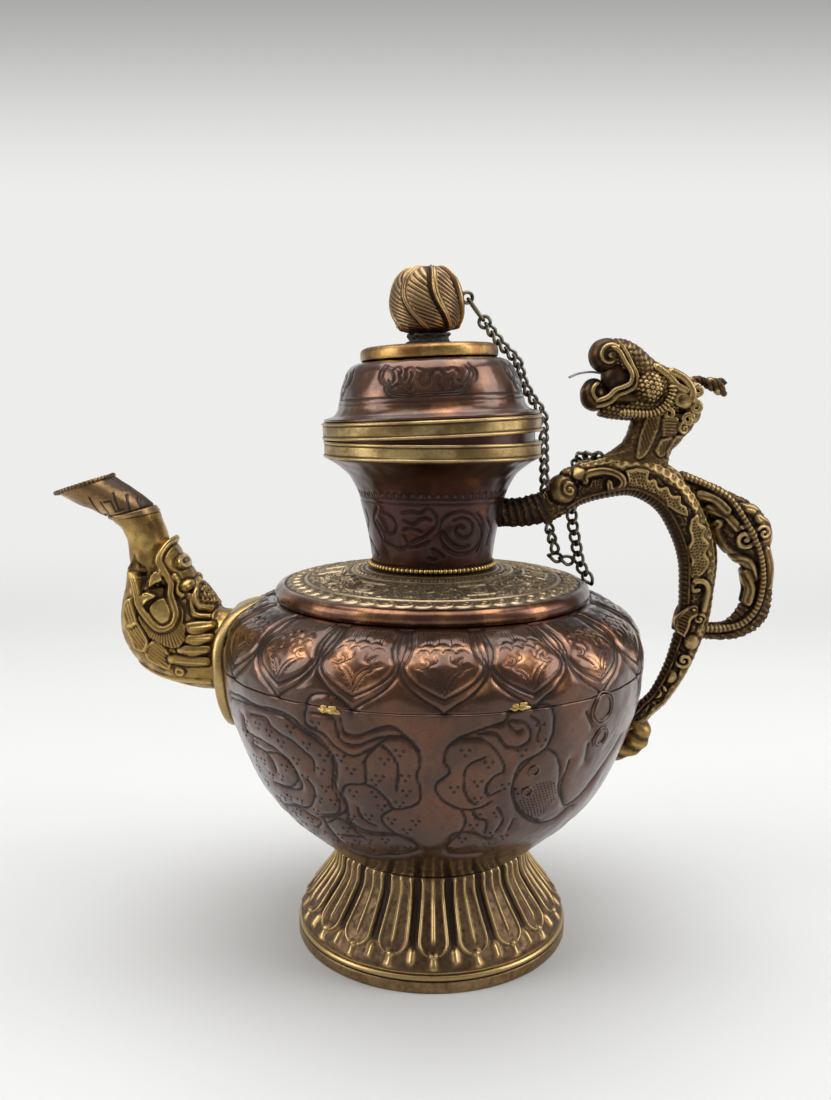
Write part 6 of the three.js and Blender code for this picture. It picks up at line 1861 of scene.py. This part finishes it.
# Links at equal distances, each turned about the route by its roll
def strand(shape, links, first, last, size):
    spots = evenLine(links["route"], len(links["roll"]), 400)
    along = np.gradient(spots, axis=0)
    along /= np.linalg.norm(along, axis=1)[:, None]
    for spot, way, roll in list(zip(spots, along, np.radians(links["roll"])))[first:last]:
        across = np.cross(way, (0, 1, 0))
        across /= np.linalg.norm(across)
        normal = np.cos(roll) * across + np.sin(roll) * np.cross(way, across)
        wireLoop(shape, spot, way, normal, links["half"], size["wide"], size["lean"])


# Pieces that move with their own bodies
def chain(size):
    shape = Shape()
    fall = np.array([0.6, 0.09, -0.795]) / np.linalg.norm([0.6, 0.09, -0.795])
    across = np.array([0, 1, 0]) - fall * fall[1]
    across /= np.linalg.norm(across)
    wireLoop(shape, [19.73, 0.61, 297.79], fall, across, size["longHalf"], size["longWide"])
    wireLoop(shape, [23.9, 1.23, 292.27], fall, np.cross(fall, across), size["ring"], size["ring"])
    strand(shape, upperLinks, 0, 24, size)
    pairs = [f"chain_upper_{i:02d}" for i in range(1, 13)]
    shape.piece("chainUpper", "chain_upper", "chain_metal", "chain", "chain_long_link", "chain_ring", *pairs)
    shape = Shape()
    strand(shape, lowerLinks, 0, 4, size)
    shape.piece("chainStart", "vessel", "chain_metal", "chain", "chain_lower_01", "chain_lower_02")
    shape = Shape()
    strand(shape, lowerLinks, 4, 14, size)
    strand(shape, crossLinks, 0, 2, size)
    pairs = [f"chain_lower_{i:02d}" for i in range(3, 8)]
    shape.piece("chainLower", "chain_lower", "chain_metal", "chain", "chain_loop_01", *pairs)
    for name, body, node, spot in (("finialEye", "lid", "finial_eye", [15.68, 0, 303.16]),
                                   ("handleEye", "vessel", "handle_eye", [77.23, 0, 230.23])):
        shape = Shape()
        wireLoop(shape, spot, np.array([1.0, 0, 0]), np.array([0, 0, 1.0]), size["eye"], size["eye"])
        shape.piece(name, body, "brass_bud", "chain", node)


chain(chainSizes)
print("chain done")


# Floor, backdrop, lights and camera

# seen and top are the colours the backdrop glows with, pale below and dim above: painted light with a painted
# falloff
studio = {
    "floor": (0.66, 0.66, 0.65), "wall": (0.9, 0.9, 0.89),
    "seen": (0.85, 0.85, 0.835), "top": (0.33, 0.33, 0.32),
    "world": 0.34, "lens": 33.55, "film": 36.0, "camera": (-0.0005, -0.480, 0.25776), "tilt": 81.57}
lamps = {  # place, target, size and power
    "topLight": [(0.0, 0.1, 1.5), (0, 0, 0), (1.6, 1.4), 22],
    "leftLight": [(-1.3, -0.35, 0.75), (0, 0, 0.15), (0.7, 1.2), 10],
    "rightLight": [(1.3, -0.2, 0.8), (0, 0, 0.15), (0.7, 1.2), 11]}


# The floor runs back and curves up into the backdrop. Seen directly, or in metal, the wall glows with painted
# light, pale below and dimming towards the top as a painted falloff; the floor in front of it keeps the
# shadow
def backdrop(look):
    turn = np.linspace(0, np.pi / 2, 24)
    bend = np.stack([0.7 + 1.3 * np.sin(turn), 1.3 - 1.3 * np.cos(turn)], 1)
    profile = np.vstack([[[-6.0, 0], [0.3, 0]], bend, [[2.0, 4.0]]])
    spots = np.array([[[x, y, z] for x in (-7.0, 7.0)] for y, z in profile])
    mesh = bpy.data.meshes.new("backdrop")
    count = len(profile)
    faces = [(2 * i, 2 * i + 1, 2 * i + 3, 2 * i + 2) for i in range(count - 1)]
    mesh.from_pydata(spots.reshape(-1, 3).tolist(), [], faces)
    mesh.polygons.foreach_set("use_smooth", np.ones(len(faces), bool))
    board = Board("backdropAndPaintedGlow")
    place = board.make("ShaderNodeSeparateXYZ", None, Vector=board.place())
    up, back = (Wire(board, place.outputs[i]) for i in (2, 1))
    path = board.make("ShaderNodeLightPath", None)
    camera, glossy, through = (
        Wire(board, path.outputs[f"Is {kind} Ray"]) for kind in ("Camera", "Glossy", "Transmission"))
    # Camera, mirror and transmission rays that meet the back wall see it glow with painted light
    seen = (camera + glossy + through) * board.ramp(back, 0.5, 1.1)
    wall = board.mix(board.ramp(up, 0.0, 0.5), (*look["floor"], 1), (*look["wall"], 1))
    # The glow's colour, dimmed towards the top as a painted falloff
    shown = board.mix(board.ramp(up, 0.66, 1.3), (*look["seen"], 1), (*look["top"], 1))
    board.put(board.surface, "Base Color", board.mix(seen, wall, (0, 0, 0, 1)))
    board.put(board.surface, "Emission Color", board.mix(seen, (0, 0, 0, 1), shown))
    board.put(board.surface, "Emission Strength", 1.0)
    board.put(board.surface, "Specular IOR Level", 0.0)
    board.put(board.surface, "Roughness", 0.9)
    mesh.materials.append(board.material)
    made = bpy.data.objects.new("backdrop", mesh)
    bpy.context.scene.collection.objects.link(made)


# Its tilt comes from the way's fall, its turn from the way's heading
def lamp(name, place, target, size, power):
    light = bpy.data.lights.new(name, "AREA")
    light.shape, light.size, light.size_y = "RECTANGLE", size[0], size[1]
    light.energy = power
    made = bpy.data.objects.new(name, light)
    bpy.context.scene.collection.objects.link(made)
    made.location = place
    way = np.asarray(target, float) - np.asarray(place, float)
    tilt, heading = math.acos(-way[2] / np.linalg.norm(way)), math.atan2(way[1], way[0])
    made.rotation_euler = (tilt, 0, heading - math.pi / 2)


backdrop(studio)
for name, values in lamps.items():
    lamp(name, *values)
world = bpy.data.worlds.new("room")
bpy.context.scene.world = world
world.use_nodes = True
sky = world.node_tree.nodes["Background"]
sky.inputs["Color"].default_value = (1, 1, 1, 1)
sky.inputs["Strength"].default_value = studio["world"]

camera = bpy.data.objects.new("camera", bpy.data.cameras.new("camera"))
bpy.context.scene.collection.objects.link(camera)
camera.data.lens, camera.data.sensor_width = studio["lens"], studio["film"]
camera.location = studio["camera"]
camera.rotation_euler = (math.radians(studio["tilt"]), 0, 0)
bpy.context.scene.camera = camera
bpy.context.scene.view_settings.view_transform = "Standard"
